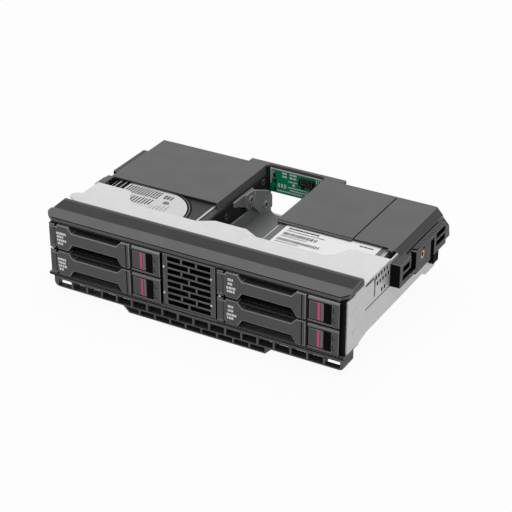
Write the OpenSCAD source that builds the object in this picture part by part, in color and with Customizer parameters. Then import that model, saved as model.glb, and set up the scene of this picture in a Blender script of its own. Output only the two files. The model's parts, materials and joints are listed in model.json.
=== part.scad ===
// Half-width drive cage: four hot-swap 2.5-inch carriers in two columns beside an open air channel.
// The front faces -Y, +Z is up, and the origin is on the ground under the middle of the cage.

/* [Drive] */
// Width of a drive
drive_w = 69.85; // [60:0.05:80]
// Length of a drive
drive_l = 100.45; // [90:0.05:115]
// Height of a drive
drive_h = 15; // [13:0.1:18]
// Step in from the drive's sides to its raised lid
lid_inset = 1.2; // [0.4:0.1:3]
// Height of the drive's raised lid
lid_h = 0.8; // [0.3:0.1:1.5]
// Distance from the drive's rear end to its rear screws
screw_rear = 14; // [11:0.5:20]
// Distance between the drive's front and rear screws
screw_span = 76.6; // [60:0.1:80]
// Height of the drive's side screws above its bottom
screw_up = 3; // [2.8:0.1:4]
// Diameter of the drive's side screws
screw_d = 3; // [2:0.1:3.5]
// Length of the drive's side screws
screw_l = 4; // [3:0.1:6]
// Thickness of the side screws' heads
head_t = 0.8; // [0.5:0.1:0.9]
// Width of the drive's plug
plug_w = 42; // [30:0.5:50]
// Height of the drive's plug
plug_h = 5.6; // [4:0.1:8]
// Depth of the drive's plug
plug_l = 6; // [4:0.1:9]

/* [Carrier] */
// Thickness of a carrier's side rail
rail_t = 1.4; // [1:0.1:2.5]
// Height of a carrier's side rail
rail_h = 9; // [7:0.1:12]
// Distance that the rails stop short of the drive's rear end
rail_short = 6; // [2:0.5:9]
// Overhang of the carrier's face past its rails
face_side = 1.7; // [1:0.1:3]
// Height of the carrier's face above the drive
face_over = 0.6; // [0.5:0.1:2]
// Room between the carrier's back wall and the drive
front_room = 9.3; // [4:0.1:20]
// Thickness of the carrier's back wall
back_t = 2; // [1:0.1:4]
// Width of the latch end of the carrier
latch_w = 19; // [17:0.1:24]
// Height of the lip over the release button
latch_top = 2; // [1:0.1:3]
// Height of the lip under the release button
latch_foot = 1.2; // [0.8:0.1:2.5]

/* [Lever] */
// Diameter of the lever's knuckle, and the lever's thickness
knuckle_d = 5.2; // [4:0.1:7]
// Diameter of the lever's pin
pin_d = 1.8; // [1:0.1:2.4]
// Running clearance round the lever's pin
pin_clear = 0.05; // [0.02:0.01:0.1]
// Thickness of the ears that hold the pin
ear_t = 1.2; // [0.8:0.1:2]
// Room behind the closed lever
lever_gap = 1; // [0.5:0.1:2]
// Width of the marked block beside the knuckle
block_w = 13; // [10:0.1:18]
// Width of the lever's free end, beside the latch
tip_w = 6.5; // [5:0.1:10]
// Width of the strip at the lever's free end
strip_w = 2.65; // [1.5:0.05:4]
// Height of the finger recess over the lever's bar
recess_top = 3.5; // [2:0.1:5]
// Height of the finger recess under the lever's bar
recess_foot = 4.6; // [2:0.1:6]
// Slope at the ends of the finger recesses
recess_run = 3; // [1:0.1:5]

/* [Button] */
// Width of the release button
button_w = 9.4; // [7:0.1:11]
// Travel of the release button
button_travel = 1.2; // [0.6:0.1:1.5]
// Clearance round the release button
button_clear = 0.2; // [0.1:0.05:0.4]
// Width of the status window
window_w = 4.6; // [3:0.1:5.5]
// Thickness of the status window
window_t = 1.2; // [0.6:0.1:2]

/* [Cage] */
// Clear width between the two columns of carriers
column_gap = 37.2; // [32:0.1:60]
// Gap between the upper and lower carriers
row_gap = 1.5; // [1.2:0.1:3]
// Room between a carrier's face and the side wall
side_room = 2.4; // [1.5:0.1:6]
// Thickness of the cage's sheet metal
sheet_t = 1; // [0.6:0.1:2]
// Height of the cage's floor above the ground
floor_h = 11.5; // [9:0.1:20]
// Running clearance of the carriers
run_clear = 0.3; // [0.2:0.05:0.5]
// Distance from the front to the left side wall
left_front = 6.6; // [4:0.1:8]
// Distance from the front to the right side wall
right_front = 3.4; // [2:0.1:6]
// Distance that the side walls run past the drives
wall_past = 2; // [0:0.1:4]
// Depth of the bottom rail
rail_depth = 12; // [10:0.1:20]
// Thickness of the bottom rail
rail_thick = 1.6; // [1:0.1:3]
// Distance from the front to the back edge of the top plate over the drives
plate_waist = 42.5; // [34:0.5:50]
// Distance from the front to the back edge of the top plate at its shoulders
plate_shoulder = 56.5; // [52:0.5:62]
// Distance from the front to the back edge of the top plate's middle tongue
plate_tongue = 48; // [44:0.5:51]

/* [Channel] */
// Thickness of the channel's side walls
channel_t = 1; // [0.6:0.1:1.5]
// Drop from the top of the bays to the channel's side walls behind the top plate
channel_drop = 5; // [3:0.1:7]
// Thickness of the duct tray
tray_t = 1.2; // [0.8:0.1:2]
// Height of the duct tray's sides
tray_h = 15; // [8:0.5:17]
// Radius of the duct tray's inner corners
tray_r = 6; // [2:0.1:8]
// Thickness of the boss bracket's arm
bracket_t = 2.8; // [2:0.1:4]
// Length of the boss bracket
boss_l = 44.1; // [38:0.1:52]
// Distance from the covers' rear end to the boss bracket's front hole
boss_back = 26.6; // [24:0.1:31]
// Drop from the top of the bays to the boss bracket's front hole
boss_drop = 10; // [9:0.1:12]
// Distance along the channel between the boss bracket's holes
boss_span = 15.7; // [14:0.1:18]
// Drop between the boss bracket's holes
boss_fall = 10; // [8:0.1:12]
// Diameter of the boss bracket's screw holes
boss_hole_d = 3.2; // [2:0.1:4]

/* [Front] */
// Depth of the brow from its lip to its back edge
brow_depth = 22.5; // [20:0.1:30]
// Reach of the brow past the left side wall
brow_left = 1.4; // [0:0.1:3]
// Distance that the brow stops short of the right side wall's outer face
brow_right = 0.3; // [0:0.1:2]
// Height of the brow's lip
brow_lip = 3.2; // [2:0.1:6]
// Depth of the brow in front of its dark strip
brow_band = 8.9; // [6:0.1:12]
// Rise of the brow from its lip to the dark strip
brow_rise = 0.9; // [0.3:0.1:3]
// Rise of the dark strip to its back edge
strip_rise = 0.7; // [0.2:0.1:3]
// Thickness of the dark strip
strip_t = 1.6; // [1:0.1:2]
// Gap between the vent grille and the carriers
grille_gap = 1.4; // [1:0.1:3]
// Width of the vent grille's side posts
post_w = 3; // [2:0.1:4]
// Thickness of the bars between the vent holes
web_t = 1.1; // [0.8:0.1:2]
// Rows of vent holes
vent_rows = 8; // [4:1:10]
// Depth of the vent holes
vent_depth = 7; // [3:0.1:7]
// Width of a hole in the lower grille, with one bar
brick_pitch = 10.4; // [7:0.1:16]
// Gap between the bottom rail and the lower grille
grille_drop = 0.3; // [0.2:0.1:1]
// Height of the lower grille's long part
grille_h = 6.8; // [6:0.1:7.2]
// Width of the lower grille's deep middle
deep_w = 97.8; // [60:0.1:120]
// Distance of the lower grille's deep middle to the right of the cage's middle
deep_x = 4.1; // [-10:0.1:10]

/* [Covers] */
// Thickness of the rear covers
cover_t = 1.5; // [1:0.1:3]
// Distance from the front to the rear covers
cover_front = 67.2; // [67:0.1:80]
// Distance that the rear covers stop short of the backplane
cover_short = 2.4; // [1:0.1:4]
// Distance from the right side wall's outer face in to the right cover's seam
seam_in = 28.85; // [15:0.05:45]
// Height of the covers' flanges along the channel, at their front end
flange_h = 4.8; // [3:0.1:7]
// Distance from the side wall's outer face in to the covers' chamfer
cover_inset = 3; // [2:0.1:5]
// Width of the chamfer along the covers' outer edges
cover_slope = 4.1; // [3.7:0.1:6]
// Drop of the chamfer along the covers' outer edges
cover_drop = 4.5; // [3:0.1:7]
// Height of the end cap's lobe behind the right side wall
lobe_h = 11; // [8:0.1:12]
// Drop of the slope on the end cap's lobe
lobe_drop = 4; // [2:0.1:6]
// Width of the bar over the channel's rear end
bar_w = 66; // [50:1:90]

/* [Backplane] */
// Thickness of the backplane
board_t = 1.6; // [1:0.1:2.4]
// Length of the sockets between the drives and the backplane
socket_l = 11; // [9:0.1:14]
// Drop from the top of the bays to the backplane's lower edge over the channel
board_drop = 17.4; // [10:0.1:20]
// Height of the backplane's lower screws above the cage's floor
screw_low = 6; // [4:0.5:9]
// Drop from the top of the bays to the backplane's upper screws
screw_drop = 12; // [8:0.5:14]
// Reach of the plugs behind the backplane
rear_plug_l = 4.65; // [3:0.05:8]

/* [Brackets] */
// Distance from the front to the side brackets' front blocks
block_y = 56; // [50:0.5:60]
// Length of the side brackets' front blocks
block_l = 14; // [13:0.5:16]
// Distance from the front to the left latch rail
rail_y = 82; // [76:0.5:86]
// Length of the left latch rail
rail_l = 35; // [24:0.5:38]
// Distance from the front to the right bracket's rear block
rear_y = 103; // [100:0.5:106]
// Drop from the top of the bays to the underside of the side brackets
bracket_drop = 16; // [14:0.1:18]
// Distance from the front to the threaded insert
insert_y = 86.5; // [84:0.5:88]
// Drop from the top of the bays to the threaded insert
insert_drop = 8.7; // [8:0.1:10]
// Reach of the side brackets from the side walls
reach = 6.45; // [4:0.05:10]
// Diameter of the threaded insert's hole in the right bracket
insert_d = 3.2; // [2:0.1:4]
// Outer diameter of the threaded insert
insert_od = 5; // [4.5:0.1:7]

/* [Hidden] */
$fn = 48;
// Small overlap of a cut past the face that it opens
cut = 0.5;

bay_w = drive_w + 2*(rail_t + face_side);
bay_h = drive_h + face_over;
row_pitch = bay_h + row_gap;
column_x = (column_gap + bay_w)/2;
floor_top = floor_h + sheet_t;
bay_top = floor_top + run_clear + row_pitch + bay_h;
plate_top = bay_top + sheet_t;
cover_top = bay_top + cover_t;
wall_in = column_gap/2 + bay_w + side_room;
wall_out = wall_in + sheet_t;
face_l = knuckle_d + lever_gap + back_t;
back_y = knuckle_d + lever_gap;
drive_y = face_l + front_room;
drive_end = drive_y + drive_l;
rail_end = drive_end - rail_short;
wall_end = drive_end + wall_past;
board_y = drive_end + run_clear + socket_l;
board_end = board_y + board_t;
overall_l = board_end + rear_plug_l;
// Gap between the top of the bays and the backplane's top edge
board_gap = 0.8;
board_top = bay_top - board_gap;
cover_end = board_y - cover_short;
rail_x = column_gap/2 + face_side;
channel_out = rail_x - run_clear;
channel_in = channel_out - channel_t;
channel_z = bay_top - channel_drop;
tray_in = channel_in - tray_t;
web_x = wall_in - side_room - face_side + run_clear;
ledge_t = row_gap - 2*run_clear;
ledge_z = floor_top + row_pitch - ledge_t;
rail_top = floor_top;
rail_z = rail_top - rail_thick;
brow_y = 1.5;
brow_z = bay_top + run_clear;
brow_crease_y = brow_y + brow_band;
brow_end = brow_y + brow_depth;
brow_crease_z = brow_z + brow_lip + brow_rise;
brow_top = brow_crease_z + strip_rise;
strip_seat = brow_crease_z - strip_t;
cap_seat = cover_top - cover_drop - cover_t;
cap_in = wall_out - cover_inset;
cap_out = cap_in + cover_slope;
seam_x = wall_out - seam_in;
// Outer face and lower edge of the covers' flanges, clear of the drives and the carriers' rails
flange_out = rail_x + rail_t - run_clear;
flange_z = bay_top - bay_h + rail_h + run_clear;
latch_x = bay_w - latch_w;
// Room between the lever's free end and the latch
lever_room = 0.6;
lever_end = latch_x - lever_room;
// Room behind the button when it is fully pressed
button_stop = 0.4;
button_l = back_y - button_travel - button_stop;
button_x = latch_x + button_clear;
window_x = button_x + button_w + button_clear;
pivot = knuckle_d/2;
post_out = column_gap/2 - grille_gap;
post_in = post_out - post_w;
// Left and right ends of the lower grille's deep middle, and the slope at each
deep0 = deep_x - deep_w/2;
deep1 = deep_x + deep_w/2;
deep_slope = 3.8;
// Distance from the left side wall in to the lower grille
grille_inset = 4.75;
// Depth of the lower grille's holes
lower_depth = 6.2;
insert_z = bay_top - insert_drop;
insert_l = 4;
// Depth of the insert's mouth below the bracket's outer face
insert_sink = 0.3;
insert_mouth = wall_out + reach - insert_sink;
// Step in diameter from the insert's thread to the hole at its foot
step_d = 0.6;
// Outer and inner faces of the runners' rear feet, which hold the backplane
foot_out = wall_in - 5.5;
foot_in = foot_out - 4;
// Relief along the cage's lower edges: the ends of its slopes from the front, its height and its depth
relief_y = [18, 27, 101, 107];
relief_h = 2;
relief_in = wall_out - 2.9;
// Screws that hold the backplane to the outer runners
board_screw_x = (foot_in + foot_out)/2;
board_screw_z = [floor_top + screw_low, bay_top - screw_drop];
board_screw_d = 2.4;
board_screw_l = 6;

BAYS = [["upper_left", -1, 1], ["lower_left", -1, 0], ["upper_right", 1, 1], ["lower_right", 1, 0]];
BAY_PIECES = ["carrier", "drive", "drive_screws", "lever", "lever_pin", "button", "window"];
CAGE_NODES = [
    "floor_plate", "left_side_wall", "right_side_wall", "top_plate",
    "left_channel_wall", "right_channel_wall", "left_outer_runner", "left_inner_runner",
    "right_inner_runner", "right_outer_runner", "front_brow", "brow_strip",
    "left_bezel_post", "right_bezel_post", "vent_grille", "bottom_rail", "lower_grille",
    "duct_tray", "boss_bracket", "left_cover", "right_cover", "right_end_cap", "rear_bar",
    "left_latch_rail", "right_latch_bracket", "bracket_insert", "insert_plug",
    "backplane", "drive_sockets", "board_connectors", "board_screws"
];

// Shared placing and shapes

// Moves a shape measured from the front face to the part's own frame
module from_front() { translate([0, -overall_l/2, 0]) children(); }

// Box between two corners
module span(low, high) { translate(low) cube(high - low); }

// Moves a shape measured from a carrier's lower left front corner into its bay
module in_bay(side, row) {
    from_front()
        translate([side*column_x - bay_w/2, 0, floor_top + run_clear + row*row_pitch])
            children();
}

// Upright outline in X and Z, pushed back from y0 to y1
module upright(y0, y1) { translate([0, y1, 0]) rotate([90, 0, 0]) linear_extrude(y1 - y0) children(); }

// Upright outline in Y and Z, pushed across from x0 to x1
module across(x0, x1) {
    translate([x0, 0, 0]) rotate([90, 0, 90]) linear_extrude(x1 - x0) children();
}

// Cylinder along X from x0 to x1
module rod_x(x0, x1, y, z, d) { translate([x0, y, z]) rotate([0, 90, 0]) cylinder(d = d, h = x1 - x0); }

// Cylinder along Y from y0 to y1
module rod_y(y0, y1, x, z, d) { translate([x, y0, z]) rotate([-90, 0, 0]) cylinder(d = d, h = y1 - y0); }

// Mirrors a left-hand shape to the right when side is 1
module on_side(side) { mirror([side > 0 ? 1 : 0, 0, 0]) children(); }

// Carriers and drives

// Plan of a lever's hinged end: round at the back, with a nearly square corner at the front
module hinge_plan() {
    corner_r = 0.8;
    translate([pivot, pivot]) circle(d = knuckle_d);
    translate([corner_r, corner_r]) circle(r = corner_r);
    translate([0, corner_r]) square([pivot, pivot - corner_r]);
    translate([corner_r, 0]) square([pivot - corner_r, pivot]);
}

module carrier(side, row) {
    pocket_low = latch_foot;
    pocket_high = bay_h - latch_top;
    color("dimgray") in_bay(side, row) difference() {
        union() {
            span([0, back_y, 0], [bay_w, face_l, bay_h]);
            for (z = [0, bay_h - ear_t]) {
                translate([0, 0, z]) linear_extrude(ear_t) hinge_plan();
                span([0, pivot, z], [knuckle_d, back_y, z + ear_t]);
            }
            span([latch_x, 0, 0], [bay_w, back_y, bay_h]);
            for (x = [face_side, bay_w - face_side - rail_t])
                span([x, face_l, 0], [x + rail_t, rail_end, rail_h]);
        }
        translate([pivot, pivot, -cut]) cylinder(d = pin_d, h = bay_h + 2*cut);
        span([latch_x - cut, -cut, pocket_low], [window_x, back_y, pocket_high]);
        span([window_x - cut, -cut, pocket_low], [window_x + window_w, window_t, pocket_high]);
        at_drive_screws() drive_screw();
    }
}

// Places its children at the four side screws, pointing inwards from a rail's outer face
module at_drive_screws() {
    for (y = [drive_end - screw_rear, drive_end - screw_rear - screw_span]) {
        translate([face_side, y, screw_up]) rotate([0, 90, 0]) children();
        translate([bay_w - face_side, y, screw_up]) rotate([0, -90, 0]) children();
    }
}

// One flat-headed side screw, which fills its own recess and hole
module drive_screw() {
    cylinder(d = screw_d + 2, h = head_t);
    cylinder(d = screw_d, h = screw_l);
}

module drive_screws(side, row) {
    color("silver") in_bay(side, row) at_drive_screws() drive_screw();
}

module drive(side, row) {
    left = face_side + rail_t;
    color("gainsboro") in_bay(side, row) difference() {
        union() {
            span([left, drive_y, 0], [left + drive_w, drive_end, drive_h - lid_h]);
            span([left + lid_inset, drive_y + lid_inset, drive_h - lid_h - cut],
                [left + drive_w - lid_inset, drive_end - lid_inset, drive_h]);
        }
        at_drive_screws() drive_screw();
        span([bay_w/2 - plug_w/2, drive_end - plug_l, 1], [bay_w/2 + plug_w/2, drive_end + cut, 1 + plug_h]);
    }
}

// Front outline of the lever: a full-height block, a bar between finger recesses, and a full-height tip
module lever_outline() {
    clear_x = knuckle_d + 0.4;
    tip_x = lever_end - tip_w;
    polygon([
        [clear_x, 0], [block_w, 0], [block_w + recess_run, recess_foot],
        [tip_x - recess_run, recess_foot], [tip_x, 0], [lever_end, 0],
        [lever_end, bay_h], [tip_x, bay_h], [tip_x - recess_run, bay_h - recess_top],
        [block_w + recess_run, bay_h - recess_top], [block_w, bay_h], [clear_x, bay_h]
    ]);
}

module lever(side, row) {
    low = ear_t + button_clear;
    groove = 0.4;
    color("gray") in_bay(side, row) difference() {
        union() {
            upright(0, knuckle_d) lever_outline();
            span([pivot, 0, low], [knuckle_d + 0.5, knuckle_d, bay_h - low]);
            translate([0, 0, low]) linear_extrude(bay_h - 2*low) hinge_plan();
        }
        translate([pivot, pivot, -cut]) cylinder(d = pin_d + 2*pin_clear, h = bay_h + 2*cut);
        span([lever_end - strip_w - groove, -cut, -cut], [lever_end - strip_w, groove, bay_h + cut]);
    }
}

module lever_pin(side, row) {
    color("silver") in_bay(side, row) translate([pivot, pivot, 0]) cylinder(d = pin_d, h = bay_h);
}

module button(side, row) {
    color("darkgray") in_bay(side, row)
        span([button_x, 0, latch_foot + button_clear],
            [button_x + button_w, button_l, bay_h - latch_top - button_clear]);
}

module window(side, row) {
    color("black") in_bay(side, row)
        span([window_x, 0, latch_foot], [window_x + window_w, window_t, bay_h - latch_top]);
}

// Sheet-metal cage

module floor_plate() {
    color("lightgray") from_front() union() {
        span([-wall_out, rail_depth, floor_h], [wall_out, relief_y[0], floor_top]);
        span([-relief_in, relief_y[0] - cut, floor_h], [relief_in, relief_y[3] + cut, floor_top]);
        span([-wall_out, relief_y[3], floor_h], [wall_out, wall_end, floor_top]);
        span([-foot_out, wall_end - cut, floor_h], [foot_out, board_end, floor_top]);
    }
}

// Side wall as a left-hand shape, with its vent slots, dimples, relief notch and pressed lines
module side_wall(front) {
    // Each row of slots: distance from the front, drop from the top, count
    slot_rows = [[37, 0.6, 5], [39, 5, 5], [45, 11.6, 2]];
    slot = [sheet_t + 2*cut, 2, 2.5];
    slot_pitch = 3.5;
    notch = [25, 35];
    notch_drop = 1.6;
    line_w = 0.9;
    line_depth = sheet_t/2;
    panel_y = 36;
    panel_drop = [3, 13];
    crease_drop = 15.4;
    dimple_d = 4.4;
    dimple_h = 0.3;
    dimple_y = 12.5;
    step_gap = 1.1;
    step_y = cover_front - step_gap;
    difference() {
        union() {
            across(-wall_out, -wall_in) polygon([
                [front, floor_top], [relief_y[0], floor_top], [relief_y[1], floor_top + relief_h],
                [relief_y[2], floor_top + relief_h], [relief_y[3], floor_top], [wall_end, floor_top],
                [wall_end, cap_seat], [step_y, cap_seat], [step_y, bay_top], [front, bay_top]
            ]);
            for (drop = [10, 22.6])
                rod_x(-wall_out - dimple_h, -wall_out + dimple_h, dimple_y, bay_top - drop, dimple_d);
        }
        for (r = slot_rows)
            for (i = [0:r[2] - 1])
                translate([-wall_out - cut, r[0] + i*slot_pitch, bay_top - r[1] - slot.z]) cube(slot);
        span([-wall_out - cut, notch[0], bay_top - notch_drop], [-wall_in + cut, notch[1], bay_top + cut]);
        span([-wall_out - cut, notch[0], bay_top - crease_drop - line_w],
            [-wall_out + line_depth, plate_shoulder, bay_top - crease_drop]);
        span([-wall_out - cut, panel_y, bay_top - panel_drop[1]],
            [-wall_out + line_depth, panel_y + line_w, bay_top - panel_drop[0]]);
    }
}

module left_side_wall() { color("silver") from_front() side_wall(left_front); }

module right_side_wall() { color("silver") from_front() on_side(1) side_wall(right_front); }

// Back edge of the top plate, from the middle to one side
function plate_edge() = [
    [0, plate_tongue], [channel_in - 8.5, plate_tongue], [channel_out, plate_waist],
    [column_x + 6.5, plate_waist], [column_x + 12, plate_waist + 4],
    [column_x + 16, plate_shoulder - 1.5], [column_x + 20, plate_shoulder], [wall_out, plate_shoulder]
];

module top_plate() {
    half = plate_edge();
    back = concat([for (i = [len(half) - 1:-1:1]) [-half[i].x, half[i].y]], half);
    ear_y = 35.2;
    ear_d = 8.4;
    ear_out = 0.9;
    color("gainsboro") from_front() translate([0, 0, bay_top]) linear_extrude(sheet_t) union() {
        polygon(concat(back, [[wall_out, rail_depth], [-wall_out, rail_depth]]));
        translate([-wall_out - ear_out, ear_y]) circle(d = ear_d);
        translate([-wall_out - ear_out, ear_y - ear_d/2]) square([2*ear_out, ear_d]);
    }
}

// Wall beside the channel: full height under the top plate and the rear bar, lower between them
module channel_wall(side) {
    front = face_l + 1;
    step_y = plate_waist - 1;
    color("dimgray") from_front() on_side(side) across(-channel_out, -channel_in) polygon([
        [front, floor_top], [board_y, floor_top], [board_y, bay_top], [cover_end, bay_top],
        [cover_end, channel_z], [step_y + channel_drop, channel_z], [step_y, bay_top], [front, bay_top]
    ]);
}

module left_channel_wall() { channel_wall(-1); }

module right_channel_wall() { channel_wall(1); }

// Runner on the side wall: a web beside both carriers, a ledge under the upper one, a foot for the board
module outer_runner(side) {
    foot_y = drive_end + run_clear;
    foot_end = wall_end + 1.5;
    top = cap_seat - run_clear;
    color("dimgray") from_front() on_side(side) difference() {
        union() {
            span([-wall_in, rail_depth, floor_top], [-web_x, foot_end, top]);
            span([-wall_in, rail_depth, ledge_z],
                [-web_x + run_clear + rail_t, foot_y + cut, ledge_z + ledge_t]);
            span([-web_x - cut, foot_y, floor_top], [-foot_in, foot_end, top]);
            span([-foot_out, foot_y, floor_top], [-foot_in, board_y, top]);
        }
        board_screw_holes();
        span([-wall_in - cut, relief_y[0], floor_top - cut], [-relief_in, relief_y[3], floor_top + relief_h]);
    }
}

module left_outer_runner() { outer_runner(-1); }

module right_outer_runner() { outer_runner(1); }

// Runner on the channel wall: a ledge under the upper carrier
module inner_runner(side) {
    color("dimgray") from_front() on_side(side)
        span([-channel_out - run_clear - rail_t, rail_depth, ledge_z],
            [-channel_out, board_y - socket_l, ledge_z + ledge_t]);
}

module left_inner_runner() { inner_runner(-1); }

module right_inner_runner() { inner_runner(1); }

// Front mouldings

module front_brow() {
    left = -wall_out - brow_left;
    right = wall_out - brow_right;
    corner = [wall_out - 4.6, brow_y];
    corner_l = 5;
    color("dimgray") from_front() intersection() {
        across(left, right) polygon([
            [brow_y, brow_z], [brow_y + 0.6, brow_z + brow_lip], [brow_crease_y, brow_crease_z],
            [brow_crease_y, strip_seat], [brow_end, strip_seat], [brow_end, plate_top],
            [rail_depth, plate_top], [rail_depth, brow_z]
        ]);
        linear_extrude(brow_top + 1) polygon([
            [-corner.x, corner.y], [corner.x, corner.y], [right, corner.y + corner_l],
            [right, brow_end + 1], [left, brow_end + 1], [left, corner.y + corner_l]
        ]);
    }
}

module brow_strip() {
    back_r = 1;
    color("black") from_front() across(-wall_out - brow_left/2, wall_out - brow_right) polygon([
        [brow_crease_y, strip_seat], [brow_end, strip_seat], [brow_end, brow_top - back_r],
        [brow_end - back_r, brow_top], [brow_crease_y, brow_crease_z]
    ]);
}

// Post between a column of carriers and the side wall
module bezel_post(side, front) {
    color("dimgray") from_front() on_side(side)
        span([-wall_in, front, rail_top], [-wall_in + side_room - run_clear, rail_depth - run_clear, brow_z]);
}

module left_bezel_post() { bezel_post(-1, left_front); }

module right_bezel_post() { bezel_post(1, brow_y); }

// Rows of bricks across the vent: three in one row and two in the next
module vent_grille() {
    low = rail_top + web_t;
    high = brow_z - web_t;
    pitch = (high - low + web_t)/vent_rows;
    field = 2*post_in;
    color("dimgray") from_front() difference() {
        span([-post_out, 1, rail_top], [post_out, 1 + vent_depth, brow_z]);
        for (row = [0:vent_rows - 1]) {
            count = row % 2 == 0 ? 2 : 3;
            hole = (field - (count - 1)*web_t)/count;
            for (i = [0:count - 1])
                translate([-post_in + i*(hole + web_t), 1 - cut, low + row*pitch])
                    cube([hole, vent_depth + 2*cut, pitch - web_t]);
        }
    }
}

module bottom_rail() {
    left = -wall_in + 0.7;
    color("dimgray") from_front() span([left, 0.3, rail_z], [wall_out, rail_depth, rail_top]);
}

// Quarter of a disc, below its centre and to the left or right of it
module lower_quarter(side, r) {
    intersection() {
        circle(r = r);
        translate([side < 0 ? -r : 0, -r]) square(r);
    }
}

// Front outline of the lower grille: a long band with round lower ends, and a deep middle
module lower_outline(left, step, top) {
    left_r = grille_h/2;
    right_r = 3;
    polygon([
        [left + left_r, step], [wall_out - right_r, step], [wall_out, step + right_r],
        [wall_out, top], [left, top], [left, step + left_r]
    ]);
    translate([left + left_r, step + left_r]) lower_quarter(-1, left_r);
    translate([wall_out - right_r, step + right_r]) lower_quarter(1, right_r);
    polygon([[deep0 + deep_slope, 0], [deep1 - deep_slope, 0], [deep1, step], [deep0, step]]);
}

// Holes in the lower grille's deep middle, half a hole out of step with those of the band above
module deep_holes(first, bar, step) {
    hole = brick_pitch - web_t;
    low0 = deep0 + deep_slope + bar;
    low1 = deep1 - deep_slope - bar;
    count = floor((low1 - low0)/brick_pitch) + 1;
    start = first + (floor((low0 - first)/brick_pitch - 0.5) + 0.5)*brick_pitch;
    intersection() {
        polygon([[low0, bar], [low1, bar], [deep1 - 2*bar, step], [deep0 + 2*bar, step]]);
        for (i = [0:count - 1])
            translate([start + i*brick_pitch, bar]) square([hole, step - bar]);
    }
}

// Grille under the bottom rail: one row of holes along its length and a second row in its deep middle
module lower_grille() {
    top = rail_z - grille_drop;
    step = top - grille_h;
    left = -wall_out + grille_inset;
    front = 0.6;
    thin = 4;
    rear = front + lower_depth;
    end_bar = 2.8;
    end_w = end_bar + brick_pitch - web_t/2;
    end_t = 2;
    bar = 0.7;
    top_bar = 1.7;
    hole_x = left + end_bar;
    count = floor((wall_out - hole_x - web_t)/brick_pitch);
    color("dimgray") from_front() difference() {
        union() {
            upright(front, front + thin) lower_outline(left, step, top);
            upright(front, rear) intersection() {
                lower_outline(left, step, top);
                translate([left + end_w, 0]) square([wall_out - left - 2*end_w, top]);
            }
            upright(front, rail_depth) intersection() {
                lower_outline(left, step, top);
                translate([wall_out - end_t, step]) square([end_t, grille_h]);
            }
            span([left + 1, 2, top - top_bar], [wall_out, front + thin, rail_z]);
            span([wall_out - end_t, front + thin - cut, top - top_bar], [wall_out, rail_depth, rail_z]);
        }
        for (i = [0:count - 1])
            translate([hole_x + i*brick_pitch, front - cut, step + bar])
                cube([brick_pitch - web_t, rear + cut, grille_h - bar - top_bar]);
        upright(front - cut, rear + cut) deep_holes(hole_x, bar, step);
    }
}

// Channel

// Section of the duct tray's inside, with round lower corners
module tray_hollow() {
    low = floor_top + tray_t;
    high = floor_top + tray_h + cut;
    translate([-tray_in + tray_r, low]) square([2*(tray_in - tray_r), high - low]);
    translate([-tray_in, low + tray_r]) square([2*tray_in, high - low - tray_r]);
    for (x = [-1, 1]) translate([x*(tray_in - tray_r), low + tray_r]) circle(r = tray_r);
}

module duct_tray() {
    color("gray") from_front() upright(rail_depth, cover_end) difference() {
        translate([-channel_in, floor_top]) square([2*channel_in, tray_h]);
        tray_hollow();
    }
}

// Bracket on the left of the channel: a thin wing, a pad with one hole, and an arm down to a second hole
module boss_bracket() {
    top = channel_z;
    low = floor_top + tray_h + run_clear;
    a = [cover_end - boss_back, bay_top - boss_drop];
    b = [a.x + boss_span, a.y - boss_fall];
    wing_y = cover_end - boss_l;
    arm_end = cover_end - board_t;
    pad_x = -tray_in + bracket_t/2;
    arm_x = -tray_in + bracket_t;
    arm_low = floor_top + tray_t + tray_r + run_clear;
    ring_h = 0.6;
    ring_w = 1.1;
    color("gray") from_front() difference() {
        union() {
            across(-channel_in, -tray_in) polygon([
                [wing_y, top], [wing_y, top - 3], [a.x, low], [a.x + 6, low], [a.x + 6, top]
            ]);
            across(-tray_in - cut, pad_x) polygon([
                [a.x - 5, top], [a.x - 5, a.y - 2.5], [a.x - 2.5, a.y - 6], [a.x + 1.5, a.y - 6],
                [a.x + 4, a.y - 3.5], [a.x + 4, top]
            ]);
            across(-tray_in, arm_x) polygon([
                [a.x + 4, top], [b.x + 5, b.y + 7.5], [arm_end, b.y + 3], [arm_end, arm_low],
                [b.x + 3, arm_low], [b.x - 5.5, b.y - 3.5], [a.x + 1, a.y - 5]
            ]);
            rod_x(pad_x - cut, pad_x + ring_h, a.x, a.y, boss_hole_d + 2*ring_w);
            rod_x(arm_x - cut, arm_x + ring_h, b.x, b.y, boss_hole_d + 2*ring_w);
        }
        for (h = [a, b]) rod_x(-channel_in - cut, arm_x + ring_h + cut, h.x, h.y, boss_hole_d);
    }
}

// Rear covers

// Section of a cover's outer edge as a left-hand shape: top, chamfer, and a foot on the side wall
module cover_edge(y0, y1, inner_x) {
    upright(y0, y1) polygon([
        [-inner_x, bay_top], [-inner_x, cover_top], [-cap_in, cover_top],
        [-cap_out, cover_top - cover_drop], [-cap_out, cap_seat],
        [-wall_in, cap_seat], [-cap_in + cover_t, bay_top]
    ]);
}

// Flange that hangs from a cover between the drive and the channel, as a left-hand shape
module cover_flange() {
    slant_l = 31;
    across(-flange_out, -rail_x) polygon([
        [cover_front, cover_top], [cover_end, cover_top], [cover_end, flange_z],
        [cover_front + slant_l, flange_z], [cover_front, cover_top - flange_h]
    ]);
}

module left_cover() {
    lug = [4, plate_shoulder + 0.6, plate_top];
    color("dimgray") from_front() union() {
        cover_edge(cover_front, cover_end, rail_x);
        cover_flange();
        span([-wall_out - run_clear, lug.y, bay_top], [-wall_out + lug.x, cover_front + cut, lug.z]);
    }
}

module right_cover() {
    lip_l = 1.5;
    lip_h = 0.8;
    color("dimgray") from_front() union() {
        span([rail_x, cover_front, bay_top], [seam_x, cover_end, cover_top]);
        span([rail_x, cover_front - lip_l, bay_top], [seam_x, cover_front + cut, bay_top + lip_h]);
        on_side(1) cover_flange();
    }
}

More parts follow.
